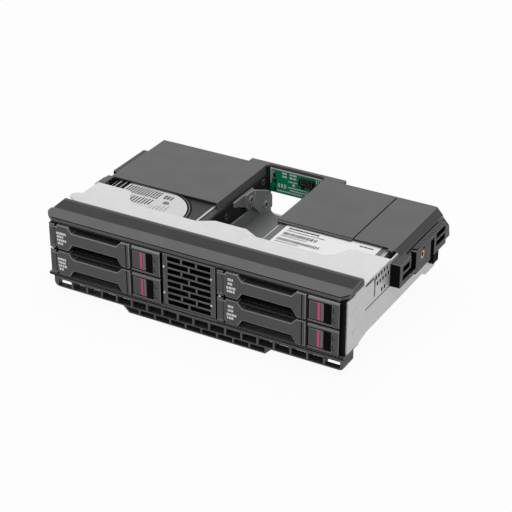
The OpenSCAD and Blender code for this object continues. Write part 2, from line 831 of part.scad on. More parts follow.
module right_end_cap() {
    lobe_y = wall_end + 0.2;
    lobe_low = cap_seat - lobe_h;
    lobe_x = wall_out + reach - 0.6;
    hook = [3.3, 3];
    color("dimgray") from_front() union() {
        on_side(1) cover_edge(cover_front, cover_end, seam_x);
        upright(lobe_y, cover_end) polygon([
            [cap_out, cap_seat + 0.5], [lobe_x - 0.6, cap_seat - lobe_drop],
            [lobe_x, lobe_low], [wall_in, lobe_low], [wall_in, cap_seat + 0.5]
        ]);
        span([cap_in - hook[0], cover_front - hook[1], bay_top], [cap_in, cover_front + cut, cover_top]);
    }
}

module rear_bar() {
    rear = board_end + 0.65;
    color("dimgray") from_front() union() {
        span([-bar_w/2, board_y, board_top], [bar_w/2, rear, cover_top]);
        for (side = [-1, 1]) on_side(side)
            span([-bar_w/2, cover_end, bay_top], [-channel_in, board_y + cut, cover_top]);
    }
}

// Side brackets

// Heights of the two windows in the right bracket's blocks
window_z = [bay_top - bracket_drop + 3, bay_top - bracket_drop + 8.2];
window_h = 3.7;

// Two windows in a block's outer face
module latch_slots(y0, y1) {
    for (z = window_z) span([wall_out + 2, y0, z], [wall_out + reach + cut, y1, z + window_h]);
}

// Front block, foot bar, pad with the insert, ribbed flange and rear block, on one web
module right_latch_bracket() {
    low = bay_top - bracket_drop;
    edge = cap_seat - button_clear;
    high = bay_top - cover_t;
    out = wall_out + reach;
    web = wall_out + reach/2;
    front_end = block_y + block_l;
    high_end = min(front_end, cover_front - run_clear);
    rear_end = wall_end - run_clear;
    pad = [insert_y - 8.8, insert_y + 11];
    pad_foot = 1.6;
    bar = [2.6, 2.4];
    frame = [3.4, 1.4];
    flange = [cap_out + 1.2, 2.2, edge + 1.6];
    rib_w = 0.9;
    rib_pitch = 2;
    rib_depth = 0.7;
    rib_rim = 0.7;
    tab = [7.4, 14.4];
    tab_h = 10.7;
    mark = [1.2, 2.4, 1.5];
    color("black") from_front() difference() {
        union() {
            span([wall_out, block_y, low], [out, front_end, edge]);
            span([wall_out, block_y, edge - cut], [out, high_end, high]);
            span([flange.x, block_y, edge - cut], [out, front_end, high]);
            span([wall_out, front_end - cut, low + 1], [web, rear_y + cut, edge]);
            span([out - bar.x, front_end - cut, low], [out, pad[0] + cut, low + bar.y]);
            span([wall_out, pad[0], low - pad_foot], [out, pad[1], edge]);
            span([flange.x, pad[0], flange.z - flange.y], [out, rear_end, flange.z]);
            span([wall_out, rear_y, low - 1], [out, rear_end, edge]);
            span([wall_out, rear_y + tab[0], low - 1 - tab_h], [web, rear_y + tab[1], low - 1 + cut]);
        }
        latch_slots(block_y + frame.x, front_end - frame.y);
        latch_slots(rear_y + frame.x - 1, rear_end - frame.y);
        span([web, front_end - frame.y - cut, window_z[0]], [out + cut, pad[0] - cut, window_z[0] + window_h]);
        for (y = [pad[0] + rib_pitch:rib_pitch:rear_end - rib_pitch - frame.y])
            span([flange.x + rib_rim, y, flange.z - rib_depth], [out - rib_rim, y + rib_w, flange.z + cut]);
        span([out - mark.x, insert_y, insert_z + insert_od/2 + 0.4],
            [out + cut, insert_y + mark.y, insert_z + insert_od/2 + 0.4 + mark.z]);
        rod_x(insert_mouth - insert_l, out + cut, insert_y, insert_z, insert_od);
    }
}

module bracket_insert() {
    seat = insert_mouth - insert_l;
    color("goldenrod") from_front() difference() {
        rod_x(seat, insert_mouth, insert_y, insert_z, insert_od);
        rod_x(seat + 1, insert_mouth + cut, insert_y, insert_z, insert_d);
        rod_x(seat - cut, seat + 1 + cut, insert_y, insert_z, insert_d - step_d);
    }
}

module insert_plug() {
    seat = insert_mouth - insert_l;
    color("firebrick") from_front() rod_x(seat, seat + 1, insert_y, insert_z, insert_d - step_d);
}

// Front block and latch rail on the left: each runs under the cover's foot and rises outside it
module left_latch_rail() {
    low = bay_top - bracket_drop;
    seat = cap_seat - cut;
    top = cap_seat + 0.8;
    y1 = min(rail_y + rail_l, wall_end);
    front_end = block_y + 1.15*block_l;
    lip = 2;
    slot_h = 3.6;
    outer = -wall_out - reach;
    inner = -cap_out - button_clear;
    color("black") from_front() difference() {
        union() {
            for (run = [[block_y + 0.4*block_l, front_end], [rail_y, y1]]) {
                span([outer, run[0], low], [-wall_out, run[1], seat]);
                span([outer, run[0], seat - cut], [inner, run[1], top]);
            }
            span([-wall_out - reach/2, front_end - cut, low], [-wall_out, rail_y + cut, seat - lip]);
        }
        for (i = [0:1])
            span([outer - cut, rail_y + lip + i*(y1 - rail_y)/2, low + lip],
                [-wall_out - reach/2, rail_y - lip + (i + 1)*(y1 - rail_y)/2, low + lip + slot_h]);
    }
}

// Backplane

// Screw holes through the backplane into the outer runner, as a left-hand shape
module board_screw_holes() {
    for (z = board_screw_z)
        rod_y(board_y - board_screw_l, board_end + cut, -board_screw_x, z, board_screw_d);
}

module backplane() {
    color("seagreen") from_front() difference() {
        span([-foot_out, board_y, floor_top], [foot_out, board_end, board_top]);
        span([-channel_in, board_y - cut, floor_top - cut],
            [channel_in, board_end + cut, bay_top - board_drop]);
        for (side = [-1, 1]) on_side(side) board_screw_holes();
    }
}

module board_screws() {
    head = 1.6;
    color("silver") from_front()
        for (side = [-1, 1]) for (z = board_screw_z) {
            rod_y(board_y - board_screw_l, board_end, side*board_screw_x, z, board_screw_d);
            rod_y(board_end, board_end + head, side*board_screw_x, z, 2*board_screw_d);
        }
}

module drive_sockets() {
    nose = plug_l - 1;
    rim = 2;
    color("black") from_front()
        for (b = BAYS) {
            z = floor_top + run_clear + b[2]*row_pitch + 1;
            x = b[1]*column_x;
            span([x - plug_w/2 - rim, drive_end + run_clear, z - 0.5],
                [x + plug_w/2 + rim, board_y, z + plug_h + 0.5]);
            span([x - plug_w/2 + run_clear, drive_end - nose, z + run_clear],
                [x + plug_w/2 - run_clear, drive_end + run_clear + cut, z + plug_h - run_clear]);
        }
}

// One header in the channel, and five plug housings behind the backplane
module board_connectors() {
    header_x = [2.6, 12.3];
    header_l = 3;
    header_drop = [7.4, 3];
    plug_x = [-column_x - 12, -column_x + 12, column_x - 14, column_x + 8];
    plug_half = 9;
    plug_z = [floor_top + 8, floor_top + 16];
    mid_x = [-20, -4];
    mid_drop = [13, 7];
    color("black") from_front() union() {
        span([header_x[0], board_y - header_l, bay_top - header_drop[0]],
            [header_x[1], board_y, bay_top - header_drop[1]]);
        for (x = plug_x)
            span([x - plug_half, board_end, plug_z[0]], [x + plug_half, overall_l, plug_z[1]]);
        span([mid_x[0], board_end, bay_top - mid_drop[0]], [mid_x[1], overall_l, bay_top - mid_drop[1]]);
    }
}

floor_plate();
left_side_wall();
right_side_wall();
top_plate();
left_channel_wall();
right_channel_wall();
left_outer_runner();
left_inner_runner();
right_inner_runner();
right_outer_runner();
front_brow();
brow_strip();
left_bezel_post();
right_bezel_post();
vent_grille();
bottom_rail();
lower_grille();
duct_tray();
boss_bracket();
left_cover();
right_cover();
right_end_cap();
rear_bar();
left_latch_rail();
right_latch_bracket();
bracket_insert();
insert_plug();
backplane();
drive_sockets();
board_connectors();
board_screws();
for (b = BAYS) {
    carrier(b[1], b[2]);
    drive(b[1], b[2]);
    drive_screws(b[1], b[2]);
    lever(b[1], b[2]);
    lever_pin(b[1], b[2]);
    button(b[1], b[2]);
    window(b[1], b[2]);
}
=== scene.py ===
# %% [markdown]
# # A drive cage with four hot-swap bays
#
# The cage is a sheet-metal box with moulded plastic on the front and on top. Its solids come from the
# CAD model and keep their sizes to within a millimetre. This lesson dresses them: soft edges, real
# finishes, printed marks and the small parts that catch the light. Everything is in metres, in the CAD
# model's own frame.

# %% Load the frame
import json
import math
import random

import bmesh
import bpy
from mathutils import Matrix, Vector


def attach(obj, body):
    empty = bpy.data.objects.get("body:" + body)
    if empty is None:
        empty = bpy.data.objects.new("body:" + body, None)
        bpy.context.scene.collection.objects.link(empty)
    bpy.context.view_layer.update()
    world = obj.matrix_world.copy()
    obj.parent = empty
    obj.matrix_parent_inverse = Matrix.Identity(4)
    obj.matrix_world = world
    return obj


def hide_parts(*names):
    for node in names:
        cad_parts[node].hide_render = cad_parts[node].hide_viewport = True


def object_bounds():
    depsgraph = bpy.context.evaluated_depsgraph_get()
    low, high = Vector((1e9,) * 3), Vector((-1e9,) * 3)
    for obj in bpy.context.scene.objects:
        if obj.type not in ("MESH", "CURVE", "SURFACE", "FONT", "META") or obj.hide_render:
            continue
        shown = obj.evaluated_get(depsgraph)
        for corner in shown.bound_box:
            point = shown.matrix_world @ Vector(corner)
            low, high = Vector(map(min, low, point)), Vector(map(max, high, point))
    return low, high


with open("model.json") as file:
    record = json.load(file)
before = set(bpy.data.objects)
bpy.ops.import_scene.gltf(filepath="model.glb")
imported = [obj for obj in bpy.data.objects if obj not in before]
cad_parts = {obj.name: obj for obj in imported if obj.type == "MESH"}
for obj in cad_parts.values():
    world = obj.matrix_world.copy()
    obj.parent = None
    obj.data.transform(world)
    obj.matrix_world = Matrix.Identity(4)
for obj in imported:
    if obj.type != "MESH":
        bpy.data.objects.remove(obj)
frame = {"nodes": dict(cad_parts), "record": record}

MM = 0.001
cad_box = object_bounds()
front = cad_box[0][1]
print("CAD box in mm:", [[round(v / MM, 1) for v in corner] for corner in cad_box])

# %% [markdown]
# ## Camera
#
# The photograph looks down on the right front corner through a long lens, so upright lines stay nearly
# upright. Azimuth, elevation and distance place the camera round one point in the cage, which is easier
# to adjust than three coordinates and three angles.

# %% Place the camera
azimuth = math.radians(29.414)
elevation = math.radians(29.0)
distance = 0.8738
target = Vector((43.774 * MM, front, 60.98 * MM))
back = Vector((
    math.sin(azimuth) * math.cos(elevation),
    -math.cos(azimuth) * math.cos(elevation),
    math.sin(elevation),
))

camera_data = bpy.data.cameras.new("camera")
camera_data.sensor_width = 36.0
camera_data.lens = 114.0
camera = bpy.data.objects.new("camera", camera_data)
camera.location = target + back * distance
camera.rotation_euler = back.to_track_quat("Z", "Y").to_euler()
bpy.context.collection.objects.link(camera)
bpy.context.scene.camera = camera
print("camera at", [round(v, 3) for v in camera.location])

# %% [markdown]
# ## World, floor and lamps
#
# The studio is white. The world and the floor answer white to what the camera, a mirror or a glass sees,
# and give plain soft light to everything else, so the background costs no extra light on the object.
# The floor keeps a trace of its own shading, which leaves a faint shadow under the cage.

# %% Light the world
def add_node(tree, kind, values=None, **settings):
    """Adds a shader node with some settings, and sets its inputs by name or number."""
    node = tree.nodes.new("ShaderNode" + kind)
    for setting, value in settings.items():
        setattr(node, setting, value)
    for label, value in (values or {}).items():
        node.inputs[label].default_value = value
    return node


def seen_directly(tree):
    """Value that is 1 for camera, glossy and transmission rays and 0 for all others."""
    path = add_node(tree, "LightPath")
    seen = path.outputs["Is Camera Ray"]
    for ray in ("Is Glossy Ray", "Is Transmission Ray"):
        either = add_node(tree, "Math", operation="MAXIMUM")
        tree.links.new(seen, either.inputs[0])
        tree.links.new(path.outputs[ray], either.inputs[1])
        seen = either.outputs[0]
    return seen


ambient = 0.33
world = bpy.data.worlds.new("studio")
world.use_nodes = True
bpy.context.scene.world = world
sky_tree = world.node_tree
sky_ends = {"A": (ambient, ambient, ambient, 1.0), "B": (1.0, 1.0, 1.0, 1.0)}
sky_mix = add_node(sky_tree, "Mix", sky_ends, data_type="RGBA")
sky_tree.links.new(seen_directly(sky_tree), sky_mix.inputs["Factor"])
sky_tree.links.new(sky_mix.outputs["Result"], sky_tree.nodes["Background"].inputs["Color"])
bpy.context.scene.view_settings.view_transform = "Standard"
print("world ambient", ambient)

# %% Lay the floor
floor_half = 3.0
floor_white = 0.94
floor_mesh = bmesh.new()
bmesh.ops.create_grid(floor_mesh, x_segments=1, y_segments=1, size=floor_half)
floor_data = bpy.data.meshes.new("floor")
floor_mesh.to_mesh(floor_data)
floor_mesh.free()
floor = bpy.data.objects.new("floor", floor_data)
bpy.context.collection.objects.link(floor)
print("floor", 2 * floor_half, "m across")

# %% Paint the floor
def wire(tree, *links):
    """Links nodes; each link gives a source node, its output, a target node and its input."""
    for source, output, node, entry in links:
        tree.links.new(source.outputs[output], node.inputs[entry])


floor_paint = bpy.data.materials.new("floor_paint")
floor_paint.use_nodes = True
floor_tree = floor_paint.node_tree
floor_shader = floor_tree.nodes["Principled BSDF"]
floor_shader.inputs["Base Color"].default_value = (0.8, 0.8, 0.8, 1.0)
floor_shader.inputs["Roughness"].default_value = 0.9
floor_shader.inputs["Specular IOR Level"].default_value = 0.0
floor_glow = add_node(floor_tree, "Emission", {"Strength": 1.0})
floor_share = add_node(floor_tree, "Math", {1: floor_white}, operation="MULTIPLY")
floor_mix = add_node(floor_tree, "MixShader")
floor_tree.links.new(seen_directly(floor_tree), floor_share.inputs[0])
wire(
    floor_tree, (floor_share, 0, floor_mix, "Fac"), (floor_shader, "BSDF", floor_mix, 1),
    (floor_glow, "Emission", floor_mix, 2),
    (floor_mix, "Shader", floor_tree.nodes["Material Output"], "Surface")
)
floor_data.materials.append(floor_paint)
print("floor glows with a share of", floor_white)

# %% Hang the lamps
def softbox(name, place, size, watts):
    """Square area lamp at a place, turned to the ground under the middle of the cage."""
    lamp_data = bpy.data.lights.new(name, "AREA")
    lamp_data.shape = "SQUARE"
    lamp_data.size = size
    lamp_data.energy = watts
    lamp = bpy.data.objects.new(name, lamp_data)
    lamp.location = Vector(place)
    lamp.rotation_euler = Vector(place).to_track_quat("Z", "Y").to_euler()
    bpy.context.collection.objects.link(lamp)
    print(name, watts, "W")


softbox("key_above", place=(-0.15, 0.2, 1.5), size=1.4, watts=14.0)
softbox("fill_front", place=(0.5, -1.6, 0.7), size=1.2, watts=2.5)

# %% [markdown]
# ## Shared effects
#
# Moulded plastic has a fine spark-eroded grain and is never quite even in tone. Zinc-coated sheet shows
# crystals a few millimetres wide and faint rolling marks. Hands and dust change the gloss in large soft
# patches. Each effect is a node group, built once and placed in each material with its own values.

# %% Group helpers
NOISE_MIDDLE = (0.3, 0.7)


def effect_group(name, inputs, outputs):
    """Empty shader group with named float inputs and outputs, and its two end nodes."""
    group = bpy.data.node_groups.new(name, "ShaderNodeTree")
    for label, value in inputs.items():
        socket = group.interface.new_socket(label, in_out="INPUT", socket_type="NodeSocketFloat")
        socket.default_value = value
    for label in outputs:
        group.interface.new_socket(label, in_out="OUTPUT", socket_type="NodeSocketFloat")
    return group, group.nodes.new("NodeGroupInput"), group.nodes.new("NodeGroupOutput")


def stretch_noise(tree, noise):
    """Map Range node that stretches the middle of a noise to the range from 0 to 1."""
    ranger = add_node(tree, "MapRange", {"From Min": NOISE_MIDDLE[0], "From Max": NOISE_MIDDLE[1]})
    tree.links.new(noise.outputs["Fac"], ranger.inputs["Value"])
    return ranger


print("group helpers ready")

# %% Moulded grain
moulded_grain, grain_in, grain_out = effect_group(
    "moulded_grain", {"Scale": 2400.0, "Patch Scale": 45.0}, ["Height", "Tone"]
)
grain_place = add_node(moulded_grain, "TexCoord")
grain_fine = add_node(moulded_grain, "TexNoise", {"Detail": 3.0})
grain_patch = add_node(moulded_grain, "TexNoise", {"Detail": 2.0})
grain_range = stretch_noise(moulded_grain, grain_patch)
wire(
    moulded_grain,
    (grain_place, "Object", grain_fine, "Vector"), (grain_place, "Object", grain_patch, "Vector"),
    (grain_in, "Scale", grain_fine, "Scale"), (grain_in, "Patch Scale", grain_patch, "Scale"),
    (grain_fine, "Fac", grain_out, "Height"), (grain_range, "Result", grain_out, "Tone")
)
print("effect:", moulded_grain.name)

# %% Zinc crystals and rolling marks
zinc_flake, zinc_in, zinc_out = effect_group(
    "zinc_flake", {"Scale": 380.0, "Streak Scale": 900.0}, ["Height", "Tone"]
)
zinc_place = add_node(zinc_flake, "TexCoord")
zinc_cells = add_node(zinc_flake, "TexVoronoi")
zinc_split = add_node(zinc_flake, "SeparateColor")
zinc_stretch = add_node(zinc_flake, "Mapping", {"Scale": (1.0, 0.04, 1.0)})
zinc_streak = add_node(zinc_flake, "TexNoise")
zinc_blend = add_node(zinc_flake, "Mix", {"Factor": 0.5})
wire(
    zinc_flake, (zinc_place, "Object", zinc_cells, "Vector"), (zinc_in, "Scale", zinc_cells, "Scale"),
    (zinc_cells, "Color", zinc_split, "Color"), (zinc_place, "Object", zinc_stretch, "Vector"),
    (zinc_stretch, "Vector", zinc_streak, "Vector"), (zinc_in, "Streak Scale", zinc_streak, "Scale"),
    (zinc_split, "Red", zinc_blend, "A"), (zinc_streak, "Fac", zinc_blend, "B"),
    (zinc_blend, "Result", zinc_out, "Tone"), (zinc_streak, "Fac", zinc_out, "Height")
)
print("effect:", zinc_flake.name)

# %% Handling marks
handling, handling_in, handling_out = effect_group(
    "handling", {"Scale": 70.0, "Low": 0.4, "High": 0.6}, ["Roughness"]
)
handling_place = add_node(handling, "TexCoord")
handling_noise = add_node(handling, "TexNoise", {"Detail": 4.0})
handling_range = stretch_noise(handling, handling_noise)
wire(
    handling,
    (handling_place, "Object", handling_noise, "Vector"), (handling_in, "Scale", handling_noise, "Scale"),
    (handling_in, "Low", handling_range, "To Min"), (handling_in, "High", handling_range, "To Max"),
    (handling_range, "Result", handling_out, "Roughness")
)
print("effect:", handling.name)

# %% [markdown]
# ## Finishes
#
# Every finish is one Principled shader. Its colour swings a little between two tones, its gloss follows
# the handling marks, and its bump comes from the grain or the rolling marks. The colours are given as
# eight-bit display levels, because that is how a colour is read off a picture, and turned to linear light.

# %% Finish helpers
GLOSS_SWING = 0.06
BUMP_STRENGTH = 0.5


def linear(level):
    """Linear light of an eight-bit display level, by the sRGB curve."""
    value = level / 255.0
    return value / 12.92 if value < 0.04045 else ((value + 0.055) / 1.055) ** 2.4


def finish(name, levels, swing, rough, effect=moulded_grain, scale=2400.0, depth=0.02, share=0.0, shine=0.2):
    """Material with a tone swing, varying gloss and a bump depth mm high; a single level gives a grey."""
    levels = levels if isinstance(levels, tuple) else (levels,) * 3
    colour = [linear(level) for level in levels]
    material = bpy.data.materials.new(name)
    material.use_nodes = True
    tree = material.node_tree
    shader = tree.nodes["Principled BSDF"]
    shader.inputs["Metallic"].default_value = share
    shader.inputs["Specular IOR Level"].default_value = shine
    dark, light = [tuple(c * (1.0 + side) for c in colour) + (1.0,) for side in (-swing, swing)]
    tone = add_node(tree, "Mix", {"A": dark, "B": light}, data_type="RGBA")
    surface = add_node(tree, "Group", {"Scale": scale}, node_tree=effect)
    limits = {"Low": rough - GLOSS_SWING, "High": rough + GLOSS_SWING}
    gloss = add_node(tree, "Group", limits, node_tree=handling)
    bump = add_node(tree, "Bump", {"Strength": BUMP_STRENGTH, "Distance": depth * MM})
    wire(
        tree, (surface, "Tone", tone, "Factor"), (tone, "Result", shader, "Base Color"),
        (gloss, "Roughness", shader, "Roughness"), (surface, "Height", bump, "Height"),
        (bump, "Normal", shader, "Normal")
    )
    return material


print("finish helpers ready")

# %% Mix the metals
def metal(name, levels, swing, rough, scale, share, depth=0.01, shine=0.2):
    """Finish with zinc crystals and rolling marks; share says how metallic it is."""
    return finish(name, levels, swing, rough, zinc_flake, scale, depth, share, shine)


zinc = metal("zinc_sheet", (217, 217, 218), 0.05, 0.45, scale=380.0, share=0.3, shine=0.5)
zinc_edge = metal("zinc_cut_edge", (200, 201, 204), 0.08, 0.4, scale=700.0, share=0.4, shine=0.5)
brass = metal("turned_brass", (232, 200, 160), 0.08, 0.3, scale=1500.0, share=0.8)
screw_zinc = metal("screw_zinc", (206, 207, 210), 0.06, 0.3, scale=1500.0, share=0.8)
casting = metal("drive_casting", (206, 206, 207), 0.06, 0.4, scale=900.0, share=0.3, depth=0.02)
# Lighter copy of the casting: a painted highlight on the drives' soft edges
casting_highlight = metal("casting_highlight", (222, 222, 223), 0.06, 0.36, scale=900.0, share=0.3, depth=0.02)
print("metals ready")

# %% Mix the plastics and prints
# Black of painted shade for hollows, gaps and shadowed faces; a few dark marks use it too
shade_and_mark_black = finish("painted_shade_and_marks", 17, 0.1, 0.7, shine=0.05)
black_sheet = finish("black_sheet", 26, 0.1, 0.55, depth=0.01, shine=0.1)
# Painted highlight on the dark sheet's soft edges, and the colour of the painted-shade sheet behind the
# grille
dark_highlight_and_shade = finish("dark_highlight_and_shade", 52, 0.1, 0.5, depth=0.01)
# Painted shade on the lips in the lower bays' finger recesses
lip_shade_grey = finish("lip_shade_grey", 62, 0.1, 0.6, shine=0.1)
bezel = finish("bezel_plastic", (98, 98, 99), 0.05, 0.5)
# Finishes named highlight are lighter copies of a body finish: painted highlights on soft edges
bezel_highlight = finish("bezel_highlight", (132, 132, 134), 0.06, 0.45)
strip = finish("strip_plastic", 50, 0.05, 0.5, shine=0.15)
# Painted sheen on the strip's top near its rear edge
strip_soft_sheen = finish("strip_soft_sheen", 74, 0.06, 0.5, shine=0.15)
strip_highlight = finish("strip_highlight", 108, 0.06, 0.5, shine=0.15)
duct = finish("duct_plastic", (134, 135, 136), 0.05, 0.45)
duct_highlight = finish("duct_highlight", (176, 177, 180), 0.05, 0.4)
boss_grey = finish("boss_plastic", (128, 128, 129), 0.05, 0.5)
cover = finish("cover_plastic", (102, 101, 101), 0.03, 0.55, scale=1800.0, depth=0.03)
# Painted shade on the end cap's slope, a tone darker than the cover
cap_slope_shade = finish("cap_slope_shade", (74, 73, 73), 0.03, 0.55, scale=1800.0, depth=0.03)
cover_edge = finish("cover_edge", (112, 111, 111), 0.05, 0.5, scale=1800.0)
bracket = finish("bracket_plastic", 74, 0.06, 0.45, shine=0.15)
bracket_highlight = finish("bracket_highlight", 112, 0.06, 0.4)
red_plug = finish("red_plug", (104, 20, 24), 0.06, 0.3)
solder_mask = finish("solder_mask", (0, 165, 116), 0.08, 0.4, depth=0.01)
board_edge = finish("board_edge", (190, 204, 190), 0.06, 0.5)
socket_black = finish("socket_black", 28, 0.1, 0.5)
socket_highlight = finish("socket_highlight", 58, 0.1, 0.45)
carrier_black = finish("carrier_plastic", (92, 92, 93), 0.05, 0.5)
carrier_highlight = finish("carrier_highlight", (146, 146, 148), 0.06, 0.45)
lever_grey = finish("lever_plastic", (92, 92, 93), 0.05, 0.5)
lever_highlight = finish("lever_highlight", (160, 160, 162), 0.06, 0.45)
button_grey = finish("button_plastic", (90, 89, 90), 0.05, 0.5)
# Painted highlight on the buttons' soft edges, and the colour of their pale printed stripe
button_highlight_and_stripe = finish("button_highlight_and_stripe", (130, 130, 132), 0.06, 0.45)
window_black = finish("window_gloss", 9, 0.1, 0.3, depth=0.002, shine=0.03)
paper = finish("label_paper", 222, 0.02, 0.6, depth=0.004)
bright_paper = finish("bright_paper", 250, 0.02, 0.6, depth=0.004)
lid_dark = finish("lid_dark", 52, 0.08, 0.45, depth=0.01)
lid_grey = finish("lid_grey", 112, 0.08, 0.45, depth=0.01)
print_black = finish("print_black", 26, 0.1, 0.6, depth=0.004, shine=0.1)
print_white = finish("print_white", 250, 0.02, 0.6, depth=0.004, shine=0.1)
stripe_pink = finish("stripe_pink", (228, 92, 142), 0.04, 0.5, depth=0.004, shine=0.1)
print("plastics and prints ready")

# %% Give each slot its finish
# Body finish, edge finish (on most slots a lighter painted highlight), and the width of the soft edges in mm
FINISHES = {
    "steel": (zinc, zinc_edge, 0.18),
    "dark_sheet": (black_sheet, dark_highlight_and_shade, 0.15),
    "bezel": (bezel, bezel_highlight, 0.3),
    "strip": (strip, strip_highlight, 1.2),
    "duct": (duct, duct_highlight, 0.3),
    "cover": (cover, cover_edge, 0.5),
    "bracket": (bracket, bracket_highlight, 0.35),
    "brass": (brass, brass, 0.15),
    "plug": (red_plug, red_plug, 0.12),
    "board": (solder_mask, board_edge, 0.12),
    "connector": (socket_black, socket_highlight, 0.25),
    "screw": (screw_zinc, screw_zinc, 0.15),
    "carrier": (carrier_black, carrier_highlight, 0.3),
    "lever": (lever_grey, lever_highlight, 0.4),
    "button": (button_grey, button_highlight_and_stripe, 0.4),
    "window": (window_black, window_black, 0.3),
    "drive": (casting, casting_highlight, 0.35),
}
print(len(FINISHES), "slots have a finish")

# %% [markdown]
# ## Soft edges on the CAD solids
#
# A solid from CAD has razor-sharp edges, and no moulded or pressed part has. Each solid is copied, its
# triangles are merged into flat faces, and a Bevel modifier rounds its edges. The width of each edge
# follows the room beside it, through the bevel weight, so a fine groove isn't eaten up by a wide radius.
# Most new narrow faces take a lighter finish, a painted highlight where the edges catch the light.

# %% Edge helpers
SHARP = math.radians(25.0)
COPLANAR = math.radians(0.5)
MERGE_REACH = 0.002 * MM
EDGE_SHARE = 0.3
FLAT_AREA = 30 * MM * MM
# Places in each dressed piece's list of materials, after the body's finish at 0. At EDGE most pieces
# have a painted highlight and at RECESS most have painted shade, while some hold a finish of their own.
EDGE = 1
RECESS = 2


def merged_copy(node):
    """A CAD node's mesh as a bmesh of flat faces."""
    shape = bmesh.new()
    shape.from_mesh(frame["nodes"][node].data)
    bmesh.ops.remove_doubles(shape, verts=shape.verts, dist=MERGE_REACH)
    bmesh.ops.dissolve_limit(shape, angle_limit=COPLANAR, verts=shape.verts, edges=shape.edges)
    return shape


def weigh_edges(shape, width):
    """Gives each sharp edge a bevel weight that keeps its radius within the faces beside it."""
    weights = shape.edges.layers.float.new("bevel_weight_edge")
    for edge in shape.edges:
        dark = all(face.material_index == RECESS for face in edge.link_faces)
        if len(edge.link_faces) == 2 and not dark and edge.calc_face_angle() > SHARP:
            room = min(face.calc_area() for face in edge.link_faces) / edge.calc_length()
            edge[weights] = min(1.0, EDGE_SHARE * room / width)


def soften(piece, width):
    """Rounds a piece's weighted edges; large faces stay flat, so that no shading runs across them."""
    for polygon in piece.data.polygons:
        polygon.use_smooth = polygon.area < FLAT_AREA
    bevel = piece.modifiers.new("soft_edges", "BEVEL")
    bevel.width = width
    bevel.segments = 3
    bevel.profile = 0.5
    bevel.limit_method = "WEIGHT"
    bevel.use_clamp_overlap = False
    bevel.harden_normals = True
    # The bevel's new faces take the edge finish, on most slots a painted highlight
    bevel.material = EDGE


print("edges sharper than", round(math.degrees(SHARP)), "degrees are rounded")

# %% Dress helpers
slot_of = {part["node"]: part["material_slot"] for part in frame["record"]["subparts"]}
carried_by = {node: body for body, nodes in frame["record"]["behaviour"]["bodies"].items() for node in nodes}


def paint(faces, place):
    """Gives faces the material at a place in their piece's list."""
    for face in faces:
        face.material_index = place


def add_piece(name, shape, materials, body):
    """Turns a bmesh into a named piece that rides on a CAD body."""
    mesh = bpy.data.meshes.new(name)
    shape.to_mesh(mesh)
    shape.free()
    for material in materials:
        mesh.materials.append(material)
    piece = bpy.data.objects.new(name, mesh)
    bpy.context.collection.objects.link(piece)
    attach(piece, body)
    return piece


def dress(node, shape=None, width=None, shaded=None, shade=shade_and_mark_black, body=None):
    """Replaces a CAD node by a soft-edged copy in its slot's finish; shaded picks faces that get another."""
    slot_body, edge_finish, slot_width = FINISHES[slot_of[node]]
    width = (width or slot_width) * MM
    shape = shape or merged_copy(node)
    if shaded:
        paint(filter(shaded, shape.faces), RECESS)
    weigh_edges(shape, width)
    piece = add_piece(
        "dressed_" + node, shape, (body or slot_body, edge_finish, shade), carried_by[node]
    )
    soften(piece, width)
    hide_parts(node)
    return piece


print(len(slot_of), "nodes to dress")

# %% [markdown]
# ## Places in millimetres
#
# The drawings of such a cage measure from its front, its middle and the ground. These helpers take the
# same millimetres, so that a number in this lesson can be compared with a ruler held to the object.

# %% Placing helpers
RIGHT = (1, 0, 0)
REAR = (0, 1, 0)
UP = (0, 0, 1)
# Least share of a normal along an axis: for a face that looks along it, and for one that leans towards it
FACING = 0.9
LEANING = 0.3


def spot(x, y, z):
    """Point from millimetres right of the middle, behind the front and above the ground."""
    return Vector((x * MM, front + y * MM, z * MM))


def block(shape, across, depths, heights):
    """Adds a box between two ends each way, in millimetres, and returns its faces."""
    low, high = [spot(*corner) for corner in zip(across, depths, heights)]
    size = high - low
    place = Matrix.Translation((low + high) / 2) @ Matrix.Diagonal((size.x, size.y, size.z, 1.0))
    box_corners = bmesh.ops.create_cube(shape, size=1.0, matrix=place)["verts"]
    return {face for vert in box_corners for face in vert.link_faces}


def points_of(node):
    """Corner points of a CAD node, in metres."""
    return [vert.co for vert in frame["nodes"][node].data.vertices]


def measure(points):
    """Low and high corner of some points, in the same millimetres."""
    ends = [[pick(p[i] for p in points) for i in range(3)] for pick in (min, max)]
    return [(x / MM, (y - front) / MM, z / MM) for x, y, z in ends]


def corners(node):
    """Low and high corner of a CAD node."""
    return measure(points_of(node))


def depth(face):
    """Distance of a face's middle behind the front, in millimetres."""
    return (face.calc_center_median().y - front) / MM


def faces_front(face):
    """True for a face that looks to the front."""
    return face.normal.y < -FACING


BAYS = ("upper_left", "lower_left", "upper_right", "lower_right")
bay_corner = {bay: corners(bay + "_carrier")[0] for bay in BAYS}
carrier_top = {bay: corners(bay + "_carrier")[1][2] for bay in BAYS}
drive_top = {bay: corners(bay + "_drive")[1][2] for bay in BAYS}
print("bay corners", {bay: [round(v, 2) for v in c] for bay, c in bay_corner.items()})

# %% Turned parts
SPIN_WELD = 0.001 * MM


